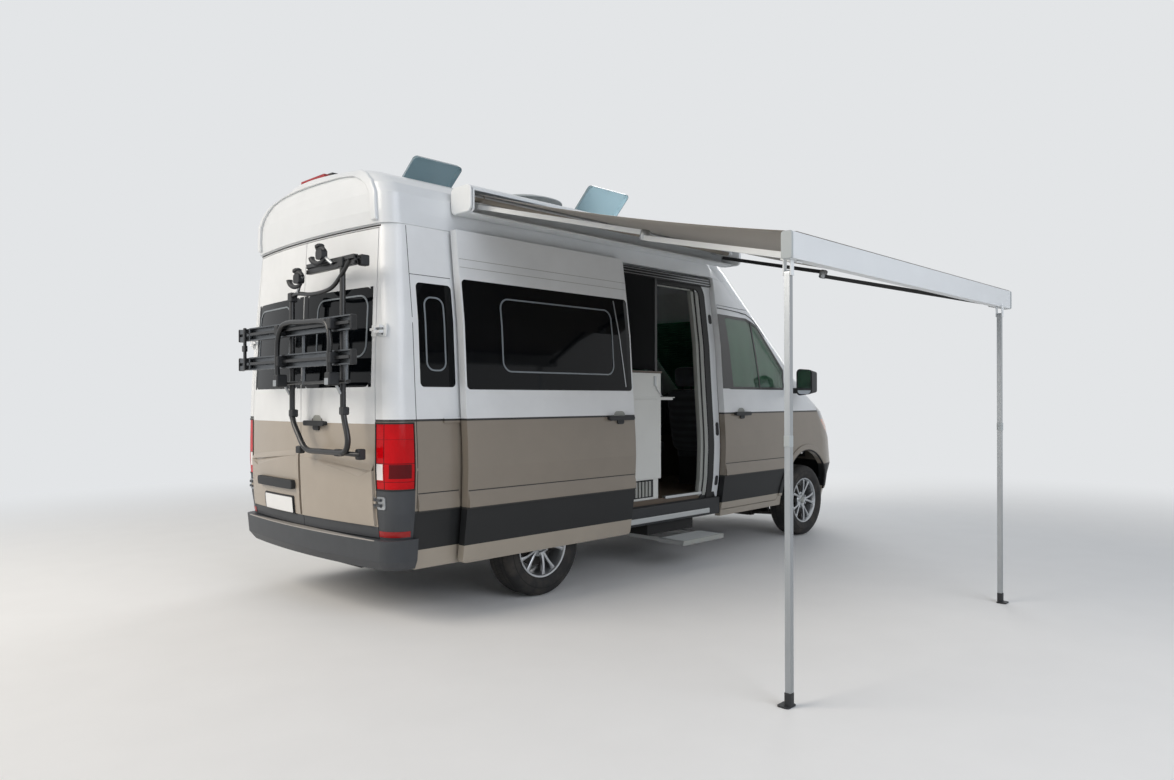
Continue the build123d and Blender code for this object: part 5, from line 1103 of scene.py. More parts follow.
top_path = np.stack([np.linspace(560, 1858, 20), np.full(20, 2350.0)], axis=1)
trims = joined(band(doorway, inner_path, 104, -30, 6, False), band(doorway, top_path, 12, -20, 4, False))
make_piece("front_post_trim", *trims, trim_grey, "van", "furniture_white", bevel=4)
track = sheet_on(doorway, box_outline(534, 2140, 2398, 2470, 8), -4, 26)
make_piece("upper_track", *track, powder_black, "van", "bumper_plastic", bevel=4)
grooves = [
    band(doorway, np.stack([np.linspace(560, 2120, 20), np.full(20, z)], axis=1), 5, 24, 30, False)
    for z in (2412.0, 2434.0, 2456.0)
]
make_piece("upper_track_lips", *joined(*grooves), zinc_steel, "van", "leg_aluminium")
sill = block((532, -958, 372), (2146, -880, 520))
make_piece("doorway_sill", *sill, grained_plastic, "van", "bumper_plastic", smooth=False, bevel=8)
lip = block((860, -966, 392), (1985, -930, 436))
make_piece("scuff_strip", *lip, sill_aluminium, "van", "leg_aluminium", smooth=False, bevel=5)
ribs = [block((870, -968, z), (1975, -964, z + 5)) for z in (398, 410, 422)]
make_piece("scuff_ribs", *joined(*ribs), sill_aluminium, "van", "leg_aluminium", smooth=False)
step_edge = block((1390, -948, 562), (1890, -905, 586))
make_piece("floor_edge_strip", *step_edge, sill_aluminium, "van", "leg_aluminium", smooth=False, bevel=4)

# %% [markdown]
# The kitchen's outer side is a white laminate box. It shows as a fixed panel, a drop-front
# with its folding shelf and stay, and a slatted vent in the plinth.

# %% Kitchen side
KITCHEN_Y = -945
panel = joined(
    block((946, KITCHEN_Y - 6, 748), (1326, KITCHEN_Y, 1392)),
    block((946, KITCHEN_Y - 6, 1412), (1326, KITCHEN_Y, 1604)),
)
make_piece("kitchen_panels", *panel, laminate_white, "van", "furniture_white", smooth=False, bevel=3)
worktop = block((930, KITCHEN_Y - 10, 1604), (1342, -412, 1622))
make_piece("kitchen_worktop", *worktop, dark_wood, "van", "furniture_wood", smooth=False, bevel=4)
stay = tube([(1244, KITCHEN_Y - 14, 1520), (1262, KITCHEN_Y - 18, 1470), (1330, KITCHEN_Y - 16, 1414)], 4, 8)
catch = block((1234, KITCHEN_Y - 16, 1500), (1256, KITCHEN_Y - 5, 1580))
make_piece("shelf_stay", *joined(stay, catch), zinc_steel, "van", "leg_aluminium")
shelf = block((1326, KITCHEN_Y - 8, 1402), (1512, -572, 1410))
make_piece("folding_shelf_top", *shelf, laminate_white, "van", "furniture_white", smooth=False, bevel=3)
vent = [block((1016, -921, 588), (1262, -913, 732))]
slats = [block((x, -929, 598), (x + 26, -920, 722)) for x in (1030, 1072, 1114, 1156, 1198)]
make_piece("heater_vent", *vent[0], dark_trim, "van", "bumper_plastic", smooth=False, bevel=3)
make_piece("heater_vent_slats", *joined(*slats), trim_grey, "van", "bumper_plastic", smooth=False, bevel=3)

# %% [markdown]
# A tyre and its rim are round, so each is a half profile turned about the axle. The spokes
# are a ten times repeated bar: its cross section is carried out from the hub, and all ten
# are worked out in one array.

# %% Wheels
WHEEL_RADIUS = 356
WHEEL_Y = 856.5
FRONT_AXLE = 3640
TYRE_STEPS = 52
TYRE_PROFILE = np.array([
    (228, -96), (262, -118), (294, -117), (330, -107), (349, -88), (356, -50), (356, 50),
    (349, 88), (330, 107), (294, 117), (262, 118), (228, 96), (222, 60), (222, -60),
])
RIM_PROFILE = np.array([
    (227, -97), (220, -97), (212, -88), (206, -60), (196, -30), (192, 20), (200, 60), (206, 84),
    (214, 95), (225, 97), (229, 91), (227, 82), (221, 70), (214, 20), (216, -60), (227, -88),
])
SPOKES = 10
SPOKE_SECTION = np.array(
    [(-1, 0), (-0.8, 0.75), (-0.35, 1), (0.35, 1), (0.8, 0.75), (1, 0), (0.7, -1), (-0.7, -1)]
)


def tyre_shape(centre, out):
    """Turned tyre with a map: millimetres round the tread, and millimetres across it from the middle."""
    points, faces = turned(TYRE_PROFILE * (1, out), centre, (0, 1, 0), TYRE_STEPS, True)
    steps, count = TYRE_STEPS, len(TYRE_PROFILE)
    lengths = np.linalg.norm(np.diff(TYRE_PROFILE, axis=0, append=TYRE_PROFILE[:1]), axis=1)
    run = np.concatenate([[0], np.cumsum(lengths)])
    middle = (run[5] + run[6]) / 2
    i, j = np.meshgrid(np.arange(steps), np.arange(count), indexing="ij")
    around = 2 * np.pi * WHEEL_RADIUS / steps
    u = np.stack([i, i, i + 1, i + 1], axis=-1) * around
    v = np.stack([run[j], run[j + 1], run[j + 1], run[j]], axis=-1) - middle
    return points, faces, np.stack([u, v], axis=-1).reshape(-1, 2)


def spoke_bars(centre, out):
    """Ten bars: share t from hub to rim sets radius, width, depth and how far each pair has spread."""
    t = np.linspace(0, 1, 9)[:, None]
    radius = 52 + 158 * t
    spread = np.radians(6 + 8.5 * t)
    width = 15 - 3.5 * np.sin(np.pi * t) + 4 * t**4
    depth = 17 - 6 * t
    level = 58 + 18 * np.sin(np.pi / 2 * t)
    pair = np.arange(SPOKES) // 2
    lean = np.where(np.arange(SPOKES) % 2, 1, -1)
    angle = np.radians(72 * pair)[:, None, None] + lean[:, None, None] * spread
    across = SPOKE_SECTION[:, 0] * width
    high = level + SPOKE_SECTION[:, 1] * depth
    x = radius * np.cos(angle) - across * np.sin(angle)
    z = radius * np.sin(angle) + across * np.cos(angle)
    y = np.broadcast_to(high * out, x.shape)
    points = np.stack([x, y, z], axis=-1) + np.array(centre, float)
    count = len(t) * len(SPOKE_SECTION)
    one = grid_faces(len(t), len(SPOKE_SECTION), False, True)
    one += [list(range(8)), list(range(count - 8, count))[::-1]]
    starts = (np.arange(SPOKES) * count).tolist()
    return points.reshape(-1, 3), [[index + start for index in face] for start in starts for face in one]


BRAKE_PROFILE = np.array([(78, -6), (150, -6), (150, 16), (78, 16), (78, 30), (44, 30), (44, -2), (78, -2)])
HUB_PROFILE = np.array([(34, 30), (80, 30), (84, 38), (82, 62), (70, 72), (50, 74), (44, 70), (34, 72)])
CAP_PROFILE = np.array([(0, 86), (12, 85.5), (22, 84), (29, 80), (32.5, 74), (32.5, 72.6), (0, 72.6)])
for name, x, side, body in (
    ("front_left", FRONT_AXLE, 1, "wheel_front_left"), ("front_right", FRONT_AXLE, -1, "wheel_front_right"),
    ("rear_left", 0, 1, "wheel_rear_left"), ("rear_right", 0, -1, "wheel_rear_right"),
):
    centre = (x, side * WHEEL_Y, WHEEL_RADIUS)
    points, faces, wrap_map = tyre_shape(centre, side)
    tyre = make_piece(f"tread_{name}", points, faces, tyre_rubber, body, "tyre_rubber", uv=wrap_map)
    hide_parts(f"tyre_{name}")
    lip = (1, side)
    rim = joined(
        turned(RIM_PROFILE * lip, centre, (0, 1, 0), 64, True), turned(
            HUB_PROFILE * lip, centre, (0, 1, 0), 48, True,
        ),
        spoke_bars(centre, side),
    )
    wheel = make_piece(f"alloy_{name}", *rim, cast_alloy, body, "wheel_alloy")
    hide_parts(f"rim_{name}")
    make_piece(
        f"wheel_cap_{name}", *turned(CAP_PROFILE * lip, centre, (0, 1, 0), 32), trim_grey, body,
        "wheel_alloy",
    )
    make_piece(
        f"brake_{name}", *turned(BRAKE_PROFILE * lip, centre, (0, 1, 0), 48, True), steel_dark, body,
        "chassis_steel",
    )
    angles = np.radians(72 * np.arange(5) + 36)
    heads = [
        turned([(0, 84), (9, 84), (11.5, 81), (11.5, 71), (0, 71)] * np.array(lip),
               np.array(centre) + (60 * np.cos(a), 0, 60 * np.sin(a)), (0, 1, 0), 6)
        for a in angles
    ]
    make_piece(f"wheel_bolts_{name}", *joined(*heads), zinc_steel, body, "leg_aluminium", smooth=False)
print("tyre faces", 4 * 2 * TYRE_STEPS * len(TYRE_PROFILE))

# %% [markdown]
# The awning cloth is one sheet held at its two ends, on the roller and on the lead rail, so
# it hangs in a shallow curve between them. It can't follow the folding arms, so it flattens
# towards the roller, as the real one winds up there.

# %% Awning cloth
SHOULDER_Y, SHOULDER_Z, ARM_FALL = -1045.0, 2620.0, 0.2494
CLOTH_X = (-690.0, 2190.0)
ROLLER_ALONG = -50.0
RAIL_FAR = (-3370.0, 2135.0)
CLOTH_SAG = 34.0
slope = np.arctan(ARM_FALL)
DOWN = np.array([0, -np.cos(slope), -np.sin(slope)])
NORMAL = np.array([0, -np.sin(slope), np.cos(slope)])
shoulder = np.array([0, SHOULDER_Y, SHOULDER_Z])
to_rail = np.array([0, RAIL_FAR[0], RAIL_FAR[1]]) - shoulder
CLOTH_END, CLOTH_LEVEL = to_rail @ DOWN, to_rail @ NORMAL
t = np.linspace(0, 1, 40)[:, None]
across = np.linspace(*CLOTH_X, 60)[None, :]
along = ROLLER_ALONG + (CLOTH_END - ROLLER_ALONG) * t + 0 * across
edge = np.abs(across - sum(CLOTH_X) / 2) / (CLOTH_X[1] - CLOTH_X[0]) * 2
sag = 4 * t * (1 - t) * CLOTH_SAG * (0.55 + 0.45 * edge**2)
ripple = 2.5 * np.sin(across / 210.0) * np.sin(np.pi * t) ** 0.7
level = CLOTH_LEVEL + 2.5 - sag + ripple
lengthways = (across + 0 * t)[..., None] * (1, 0, 0)
points = shoulder + along[..., None] * DOWN + level[..., None] * NORMAL + lengthways
cloth_piece = make_piece(
    "awning_cloth", points.reshape(-1, 3), grid_faces(40, 60), awning_cloth, "van", "awning_cloth"
)
thick = cloth_piece.modifiers.new("cloth_thickness", "SOLIDIFY")
thick.thickness = 0.0012
thick.offset = 0
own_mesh(cloth_piece)
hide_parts("awning_fabric")

# %% [markdown]
# Each front door window is split by a dark bar, has a black printed edge, and a black cover
# on the door's rear post. The cab is shut off from the sun by green cloth behind the panes.

# %% Front door windows


def surface_area(piece):
    """Sum of a piece's faces before its modifiers, in square metres."""
    areas = np.empty(len(piece.data.polygons))
    piece.data.polygons.foreach_get("area", areas)
    return float(areas.sum())


WINDOW_FRONT = np.array([(1480, 3316), (1680, 3331), (2105, 2911), (2160, 2716)])
PRINTED_EDGE = [
    (2300, 1492), (3298, 1492), (3318, 1520), (3328, 1674), (2916, 2092), (2724, 2146), (2285, 2146),
    (2254, 2112),
    (2254, 1524),
]
PILLAR = [(2162, 1486), (2344, 1486), (2296, 2158), (2164, 2158)]
BLIND_DEEP = 34
for name, surface, body in (("right", right_cab, "door_front_right"), ("left", left_cab, "door_front_left")):
    bar = band(
        surface, np.stack([np.linspace(2806, 2834, 14), np.linspace(2132, 1486, 14)], axis=1), 24, -2, 3,
        False,
    )
    edge = band(surface, PRINTED_EDGE, 24, -1, 1.2)
    post = sheet_on(surface, np.array(PILLAR, float), -2, 2.4)
    make_piece(f"window_bar_{name}", *joined(bar, edge, post), powder_black, body, "bumper_plastic")
    drip = [(2168, 2212), (2400, 2212), (2600, 2208), (2730, 2198), (2850, 2160), (2960, 2096), (3060, 2000)]
    drip = np.array(drip, float)
    make_piece(
        f"window_top_bead_{name}", *band(surface, drip, 7, -1, 4, False), seal_rubber, body, "bumper_plastic",
    )
    rise, share = np.meshgrid(np.linspace(1494, 2138, 26), np.linspace(0, 1, 44), indexing="ij")
    reach = np.interp(rise, WINDOW_FRONT[:, 0], WINDOW_FRONT[:, 1]) - 26
    x = 2256 + (reach - 2256) * share
    folds = 5 * np.sin(x / 34.0 + 0.6 * np.sin(rise / 160.0)) * (0.35 + 0.65 * (2138 - rise) / 644)
    cloth = make_piece(
        f"cab_blind_{name}", surface(x, rise, folds - BLIND_DEEP).reshape(-1, 3), grid_faces(26, 44),
        blind_green, body,
        "awning_cloth",
    )
    thick = cloth.modifiers.new("cloth_thickness", "SOLIDIFY")
    thick.thickness = 0.001
    float(surface_area(cloth))
glass = np.empty(len(nodes["windscreen"].data.vertices) * 3)
nodes["windscreen"].data.vertices.foreach_get("co", glass)
glass = (glass.reshape(-1, 3) - ORIGIN) * 1000


def bend(y, z):
    """The terms that X is a sum of on the windscreen: 1, z, z squared, y squared and their product."""
    rise = (z - 1850) / 1000
    out = (y / 1000) ** 2
    return np.stack([np.ones_like(rise), rise, rise**2, out, out * rise], axis=-1)


terms = np.linalg.lstsq(bend(glass[:, 1], glass[:, 2]), glass[:, 0], rcond=None)[0]
rise, share = np.meshgrid(np.linspace(1530, 2232, 64), np.linspace(-1, 1, 30), indexing="ij")
across_y = share * np.interp(rise, [1530, 2232], [755, 712])
pleat = 4 * np.where(np.arange(64) % 2, 1, -1)[:, None]
screen = np.stack([bend(across_y, rise) @ terms - 75 + pleat, across_y, rise - 20], axis=-1).reshape(-1, 3)
cloth = make_piece(
    "windscreen_blind", screen, grid_faces(64, 30), blind_green, "van", "awning_cloth", smooth=False,
)
cloth.modifiers.new("cloth_thickness", "SOLIDIFY").thickness = 0.001
area = surface_area(cloth)
print("windscreen blind, square metres", round(area, 2))
mirror_silver = new_finish("mirror_silver", Base_Color=linear("C9CED2"), Metallic=1.0, Roughness=0.03)[0]
for name, side in (("right", -1), ("left", 1)):
    plate = prism(rounded_outline(142, 232, 34, 8), 3, (3341, side * 1126, 1555), (0, -1, 0), (0, 0, 1))
    make_piece(f"mirror_glass_{name}", *plate, mirror_silver, f"door_front_{name}", "window_glass")

# %% [markdown]
# The raised roof ends in a rounded lip round a slightly hollow tail panel. The lip is a bar
# that follows the roof's own outline: up one corner, over the top and down the other.

# %% Roof tail
ROOF_Z = np.array([2480.0, 2560, 2670, 2740, 2800, 2850, 2885])
ROOF_TUCK = np.array([117.0, 119, 127, 175, 260, 390, 600])
ROOF_REAR_IN = np.array([35.0, 30, 30, 34, 42, 56, 85])
LIP_WIDTH = 52


def roof_tail(y, z, proud):
    """Point on the roof's tail, the same kind of arc as the body's tail but from the roof's own rows."""
    y, z = np.broadcast_arrays(np.asarray(y, float), np.asarray(z, float))
    edge = HALF_WIDTH - np.interp(z, ROOF_Z, ROOF_TUCK) - CORNER_WIDTH
    radius = (edge**2 + CORNER_DEPTH**2) / (2 * CORNER_DEPTH)
    inward = radius - np.sqrt(np.maximum(radius**2 - y**2, 0))
    x = REAR_FACE + np.interp(z, ROOF_Z, ROOF_REAR_IN) + inward - proud
    return np.stack([x, y, z], axis=-1)


rise = np.array([2496.0, 2560, 2620, 2670, 2705, 2738, 2768, 2793, 2815, 2832, 2845])
out = HALF_WIDTH - np.interp(rise, ROOF_Z, ROOF_TUCK) - CORNER_WIDTH - 18
out[-1] = 470
over = np.linspace(-400, 400, 15)
lip_path = np.concatenate([
    np.stack([-out, rise], axis=1), np.stack([over, np.full(15, 2850.0)], axis=1),
    np.stack([out, rise], axis=1)[::-1],
])
lip = band(roof_tail, lip_path, LIP_WIDTH, -4, 20, False)
make_piece("roof_tail_lip", *lip, gel_coat, "van", "roof_plastic", bevel=9)
seam = np.stack([np.linspace(-815, 815, 40), 2466 + 0 * np.linspace(-1, 1, 40)], axis=1)
make_piece("roof_tail_seal", *band(tail, seam, 10, -3, 1.5, False), seal_rubber, "van", "bumper_plastic")
lens = block((-1250, -160, 2862), (-1196, 160, 2906))
make_piece("third_brake_lens", *lens, red_lens, "van", "lamp_red", smooth=False, bevel=8)
hood = block((-1205, -185, 2860), (-1100, 185, 2920))
make_piece("third_brake_hood", *hood, grained_plastic, "van", "bumper_plastic", smooth=False, bevel=14)

# %% [markdown]
# The rear doors' lower panel is pressed outwards. Its upper edge falls from the middle gap,
# and turns up again near the lamps. It is a thin shell over each door in the same paint.

# %% Pressed panels and black edges of the tail
PRESSED = 16
RAMP_WIDTH = 36
CREASE = [(14, 1042), (200, 1018), (377, 989), (560, 962), (742, 931), (800, 965), (828, 978)]
LOWER_EDGE = [(828, 622), (14, 622)]


def crease_ramp(path):
    """Sloping strip along a path on the tail: flush along its top edge, pressed out along its lower one."""
    line = finer(np.array(path, float), 40)
    y, z = line[:, 0], line[:, 1]
    top, low = z + RAMP_WIDTH / 2, z - RAMP_WIDTH / 2
    rows = [tail(y, top, -1), tail(y, top, 0.5), tail(y, low, PRESSED), tail(y, low, -1)]
    points = np.stack(rows, axis=1).reshape(-1, 3)
    last = len(points) - 4
    return points, grid_faces(len(y), 4, False, True) + [[0, 1, 2, 3], [last + n for n in (3, 2, 1, 0)]]


for name, side, body in (("right", -1, "door_rear_right"), ("left", 1, "door_rear_left")):
    shift = np.array([(0, -RAMP_WIDTH / 2)] * len(CREASE) + [(0, 0)] * 2)
    outline = (np.array(CREASE + LOWER_EDGE, float) + shift) * (side, 1)
    make_piece(
        f"pressed_panel_{name}", *sheet_on(tail, outline, -1, PRESSED), rear_paint, body, "body_paint",
        bevel=2,
    )
    ramp = crease_ramp(np.array(CREASE, float) * (side, 1))
    make_piece(f"pressed_edge_{name}", *ramp, rear_paint, body, "body_paint")
    upper = np.array([(14, 1452), (800, 1452), (812, 1425), (812, 1300), (14, 1300)], float) * (side, 1)
    glass_edge = np.array([(7, 1470), (60, 1470), (60, 2090), (7, 2090)], float) * (side, 1)
    outer_edge = np.array([(772, 1470), (800, 1470), (782, 2090), (756, 2090)], float) * (side, 1)
    shape = joined(sheet_on(tail, glass_edge, -1, 1.5), sheet_on(tail, outer_edge, -1, 1.5))
    make_piece(f"rear_glass_border_{name}", *shape, black_glass, body, "window_glass")
    rims = joined(
        corner_strip(-846, -1114, (1244, 1254), -2, 4, side), corner_strip(
            -846, -1114, (840, 850), -2, 4, side,
        ),
        band(
            tail, np.stack([np.full(12, side * 851.0), np.linspace(846, 1250, 12)], axis=1), 8, -2, 4, False,
        ),
    )
    make_piece(f"lamp_surround_{name}", *rims, seal_rubber, "van", "bumper_plastic")

# %% [markdown]
# Each side has a shallow swage above the cladding: a long facet that leans out towards its
# lower edge and so catches the light, under a dark line that is painted shade along the crease.
# Two fine grey lines above the sliding door's window are painted shade in two thin grooves.

# %% Swages of the sides


def swage(surface, start, end, high=812.0, knee=744.0, low=704.0, lean=17.0):
    """Long wedge on a surface: flush along its upper edge, standing out at its knee, straight below."""
    x = np.linspace(start, end, max(2, int((end - start) / 60)))
    rows = [
        surface(x, high, -1), surface(x, high, 0.5), surface(x, knee, lean), surface(x, low, lean),
        surface(x, low, -1),
    ]
    points = np.stack(rows, axis=1).reshape(-1, 3)
    last = len(points) - 5
    faces = grid_faces(len(x), 5, False, True) + [[0, 1, 2, 3, 4], [last + n for n in (4, 3, 2, 1, 0)]]
    return points, faces


def line_at(surface, start, end, z, width, high):
    """Bar along a surface at one height."""
    x = np.linspace(start, end, max(2, int((end - start) / 60)))
    return band(surface, np.stack([x, np.full(len(x), float(z))], axis=1), width, -1, high, False)


SWAGES = [
    ("quarter_right", right_side, -1092, -786, "van"), ("rear_left", left_side, -1092, -348, "van"), (
        "middle_left", left_side, 348, 2146, "van",
    ),
    ("sliding", right_door, -772, 828, "van"), ("front_right", right_cab, 2166, 3240, "door_front_right"),
    ("front_left", left_cab, 2166, 3240, "door_front_left"),
]
for name, surface, start, end, body in SWAGES:
    make_piece(f"swage_{name}", *swage(surface, start, end), side_paint, body, "body_paint")
    # The dark line is painted shade above the swage's crease.
    make_piece(
        f"swage_shade_line_{name}", *line_at(surface, start, end, 816, 6, 1.0), dark_trim, body, "bumper_plastic",
    )
# Two grey lines: painted shade in the grooves above the sliding door's window.
fine = [line_at(right_door, -770, 826, z, 3, 1.2) for z in (2238, 2292)]
make_piece("sliding_door_top_groove_shades", *joined(*fine), trim_grey, "van", "body_paint")
for name, surface, side in (("right", right_cab, -1), ("left", left_cab, 1)):
    angle = np.radians(np.linspace(2, 178, 40))
    arc = np.stack([3660 + 480 * np.cos(angle), 420 + 480 * np.sin(angle)], axis=1)
    make_piece(
        f"arch_lip_{name}", *band(surface, arc, 58, -6, 13, False), side_paint, "van", "body_paint", bevel=9,
    )
    inner = np.stack([3660 + 452 * np.cos(angle), 420 + 452 * np.sin(angle)], axis=1)
    make_piece(
        f"arch_edge_{name}", *band(surface, inner, 12, -8, 9, False), dark_trim, "van", "bumper_plastic",
    )

# %% [markdown]
# The cycle carrier is bent black tube with plastic joints. A smooth curve through a few
# measured places gives each tube's line. The hoop that holds the cycles and its straps ride
# on the folding platform, the rest on the right door. The tubes here stand for the solid
# frame, so as to show the bend in its right post. They lack that frame's four short studs,
# so this frame doesn't touch the door yet, and report.md lists that as an open fault.

# %% Cycle carrier


def curve(points, steps=8):
    """Smooth line through points: between two of them a cubic that leans towards their neighbours."""
    known = np.asarray(points, float)
    known = np.concatenate([[2 * known[0] - known[1]], known, [2 * known[-1] - known[-2]]])
    t = np.linspace(0, 1, steps, endpoint=False)[:, None]
    a, b, c, d = (known[i : len(known) - 3 + i, None] for i in range(4))
    line = b + 0.5 * ((c - a) * t + (2 * a - 5 * b + 4 * c - d) * t**2 + (3 * b - a - 3 * c + d) * t**3)
    return np.concatenate([line.reshape(-1, known.shape[1]), known[-2:-1]])


BAR = 15
POST = 18
PIVOT_X, PIVOT_Z = -1490, 1500
RAIL_LEVELS = (1640, 1840)
HOOP_FEET_Y = (-122, -788)
bow = tube(
    curve(
        [
            (-1448, -840, 2222), (-1452, -745, 2140), (-1455, -620, 2072), (-1455, -400, 2058),
            (-1450, -200, 2080), (-1440, -96, 2070),
        ]
    ),
    13,
)
POST_X = -1440
left_route = [
    (-90, 2060), (-90, 1800), (-90, 1330), (-97, 1270), (-125, 1221), (-175, 1165), (-215, 1120),
    (-262, 1085), (-330, 1070),
    (-480, 1070), (-740, 1070),
]
left_post = tube(curve([(POST_X, y, z) for y, z in left_route]), POST)
right_route = [
    (-740, 2225), (-740, 1800), (-740, 1400), (-742, 1330), (-758, 1262), (-782, 1200), (-794, 1150),
    (-784, 1104),
    (-750, 1076), (-700, 1070),
]
right_post = tube(curve([(POST_X, y, z) for y, z in right_route]), POST)
pivot_bar = tube([(PIVOT_X, -900, PIVOT_Z), (PIVOT_X, -90, PIVOT_Z)], 11)
arms = [block((-1500, y - 8, PIVOT_Z - 12), (-1442, y + 8, PIVOT_Z + 12)) for y in (-78, -740)]
top_end = tube([(-1432, -735, 2225), (-1420, -825, 2225), (-1390, -878, 2224)], BAR)
low_end = tube([(-1432, -690, 1070), (-1415, -796, 1066), (-1385, -838, 1062)], BAR)
frame_tubes = joined(bow, top_end, low_end, left_post, right_post, pivot_bar, *arms)
frame_piece = make_piece("carrier_tubes", *frame_tubes, powder_black, "door_rear_right", "carrier_black")
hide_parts("carrier_frame")
blocks = [
    block((-1402, -890, 2192), (-1343, -844, 2258)), block((-1396, -842, 1030), (-1345, -796, 1096)),
    block((-1460, -118, 2032), (-1412, -62, 2096)), block((-1462, -770, 2190), (-1412, -712, 2250)),
    block((-1456, -118, 1280), (-1410, -64, 1330)), block((-1456, -768, 1300), (-1410, -714, 1350)),
    block((-1452, -212, 1046), (-1412, -150, 1094)), block((-1452, -700, 1048), (-1412, -640, 1092)),
]
channel = [block((-1449, -880, z - 14), (-1415, -300, z + 14)) for z in (2206, 2242)]
web = block((-1440, -880, 2196), (-1420, -300, 2252))
make_piece(
    "carrier_top_channel", *joined(*channel, web), powder_black, "door_rear_right", "carrier_black",
    smooth=False, bevel=4,
)
make_piece(
    "carrier_joints", *joined(*blocks), grained_plastic, "door_rear_right", "carrier_black", smooth=False,
    bevel=9,
)


def claw(place_y, place_z, turn):
    """Frame clamp: a body with a long lower jaw and a short upper one, opening to the left after a turn."""
    jaws = []
    for first, final, reach, depth in ((-38, -172, 92, 50), (58, 122, 88, 40)):
        angle = np.radians(np.linspace(first, final, 14)) + turn
        y, z = place_y + reach * np.cos(angle), place_z + depth * np.sin(angle)
        jaws.append(tube(np.stack([np.full(14, -1478.0), y, z], axis=1), np.linspace(20, 10, 14)))
    body_outline = rounded_outline(76, 60, 18)
    body = prism(body_outline, 40, (-1498, place_y - 34, place_z - 2), (0, 1, 0), (0, 0, 1))
    knob_shape = [(0, 12), (22, 11), (29, 5), (29, -7), (20, -12), (11, -16), (11, -42), (0, -42)]
    knob = turned(knob_shape, (-1478, place_y - 12, place_z + 52), (0, 0.25, 0.97), 24)
    return joined(*jaws, body, knob)


make_piece(
    "carrier_claws", *joined(claw(-520, 2286, 0.5), claw(-226, 2168, 0.7)), grained_plastic,
    "door_rear_right", "carrier_black",
)
rods = [
    tube([(-1470, -575, 2270), (-1452, -640, 2222)], 11),
    tube([(-1474, -300, 2180), (-1462, -215, 2085)], 10),
    tube([(-1486, -78, 1486), (-1452, -78, 1428)], 9), tube([(-1486, -740, 1486), (-1456, -740, 1428)], 9),
]
make_piece("carrier_rods", *joined(*rods), zinc_steel, "door_rear_right", "leg_aluminium")
hoop_path = curve([
    (-1552, -122, 1486), (-1560, -126, 1620), (-1560, -134, 1770), (-1560, -190, 1858), (-1560, -300, 1878),
    (-1560, -480, 1870), (-1560, -680, 1862), (-1560, -770, 1838), (-1560, -802, 1750), (-1560, -796, 1610),
    (-1552, -788, 1486),
])
make_piece("cycle_hoop", *tube(hoop_path, 16), powder_black, "carrier_fold", "carrier_black")
feet = [block((-1574, y - 30, 1476), (-1502, y + 30, 1556)) for y in HOOP_FEET_Y]
hugs = [block((-1572, y - 26, z - 34), (-1500, y + 26, z + 34)) for y in (-128, -798) for z in RAIL_LEVELS]
ends = [block((-1541, y - 7, z - 45), (-1496, y + 7, z + 45)) for y in (-996, 500) for z in RAIL_LEVELS]
reach_out = [
    block((-1536, 336, z + low), (-1502, 496, z + high)) for z in RAIL_LEVELS for low,
    high in ((-42, -8), (8, 42))
]
reach_out += [block((-1526, 336, z - 30), (-1508, 496, z + 30)) for z in RAIL_LEVELS]
make_piece(
    "rail_left_ends", *joined(*reach_out), anodised_dark, "carrier_fold", "carrier_black", smooth=False,
    bevel=4,
)
make_piece(
    "hoop_feet", *joined(*feet, *hugs), grained_plastic, "carrier_fold", "carrier_black", smooth=False,
    bevel=10,
)
make_piece(
    "rail_end_caps", *joined(*ends), powder_black, "carrier_fold", "carrier_black", smooth=False, bevel=7,
)
labels = [block((-1578, y - 20, 1480), (-1573, y + 20, 1520)) for y in HOOP_FEET_Y]
make_piece(
    "hoop_foot_plates", *joined(*labels), zinc_steel, "carrier_fold", "leg_aluminium", smooth=False, bevel=2,
)
slots = [block((-1541, -985, z - 9), (-1536, 322, z + 9)) for z in RAIL_LEVELS]
make_piece("rail_grooves", *joined(*slots), powder_black, "carrier_fold", "carrier_black", smooth=False)
strap = joined(block((-1556, 372, 1598), (-1538, 396, 1888)), block((-1560, 362, 1724), (-1536, 406, 1766)))
make_piece("wheel_strap", *strap, powder_black, "carrier_fold", "carrier_black", smooth=False, bevel=5)

# %% [markdown]
# The awning's ends are closed by moulded caps. Its elbows carry a round cover over each pin,
# at the places that the joints themselves give, and each leg has a clamp and a foot plate.

# %% Awning fittings
joints = {joint["name"]: joint for joint in frame["joints"]}


def joint_place(name):
    """Where a joint is, in millimetres on the van."""
    return (np.array(joints[name]["pos_m"]) - ORIGIN) * 1000


CASE_OUTLINE = rounded_outline(208, 176, 42, 8)
for name, x, depth in (("rear", -744, -16), ("front", 2254, 16)):
    cap = prism(CASE_OUTLINE, depth, (x, -1006, 2670), (0, 1, 0), (0, 0, 1))
    make_piece(f"case_cap_{name}", *cap, powder_white, "van", "awning_white", bevel=10)
    edge = prism(
        rounded_outline(58, 126, 12), depth * 0.9, (-724 if depth < 0 else 2204, -3345, 2075), (0, 1, 0),
        (0, 0, 1),
    )
    make_piece(f"rail_cap_{name}", *edge, dish_grey, "lead_rail", "awning_dark", bevel=5)
roll = turned(
    [(0, -690), (25, -690), (25, 2190), (0, 2190)],
    shoulder + ROLLER_ALONG * DOWN + (CLOTH_LEVEL - 25) * NORMAL, (1, 0, 0), 24,
)
make_piece("rolled_cloth", *roll, awning_cloth, "van", "awning_cloth")
for end, body, sink in (("rear", "arm_upper_rear", zinc_steel), ("front", "arm_upper_front", zinc_steel)):
    centre = joint_place(f"elbow_{end}")
    cover = [(0, 34), (16, 33), (26, 29), (30, 22), (30, -22), (26, -29), (16, -33), (0, -34)]
    make_piece(f"elbow_cover_{end}", *turned(cover, centre, NORMAL, 28), sink, body, "leg_aluminium")
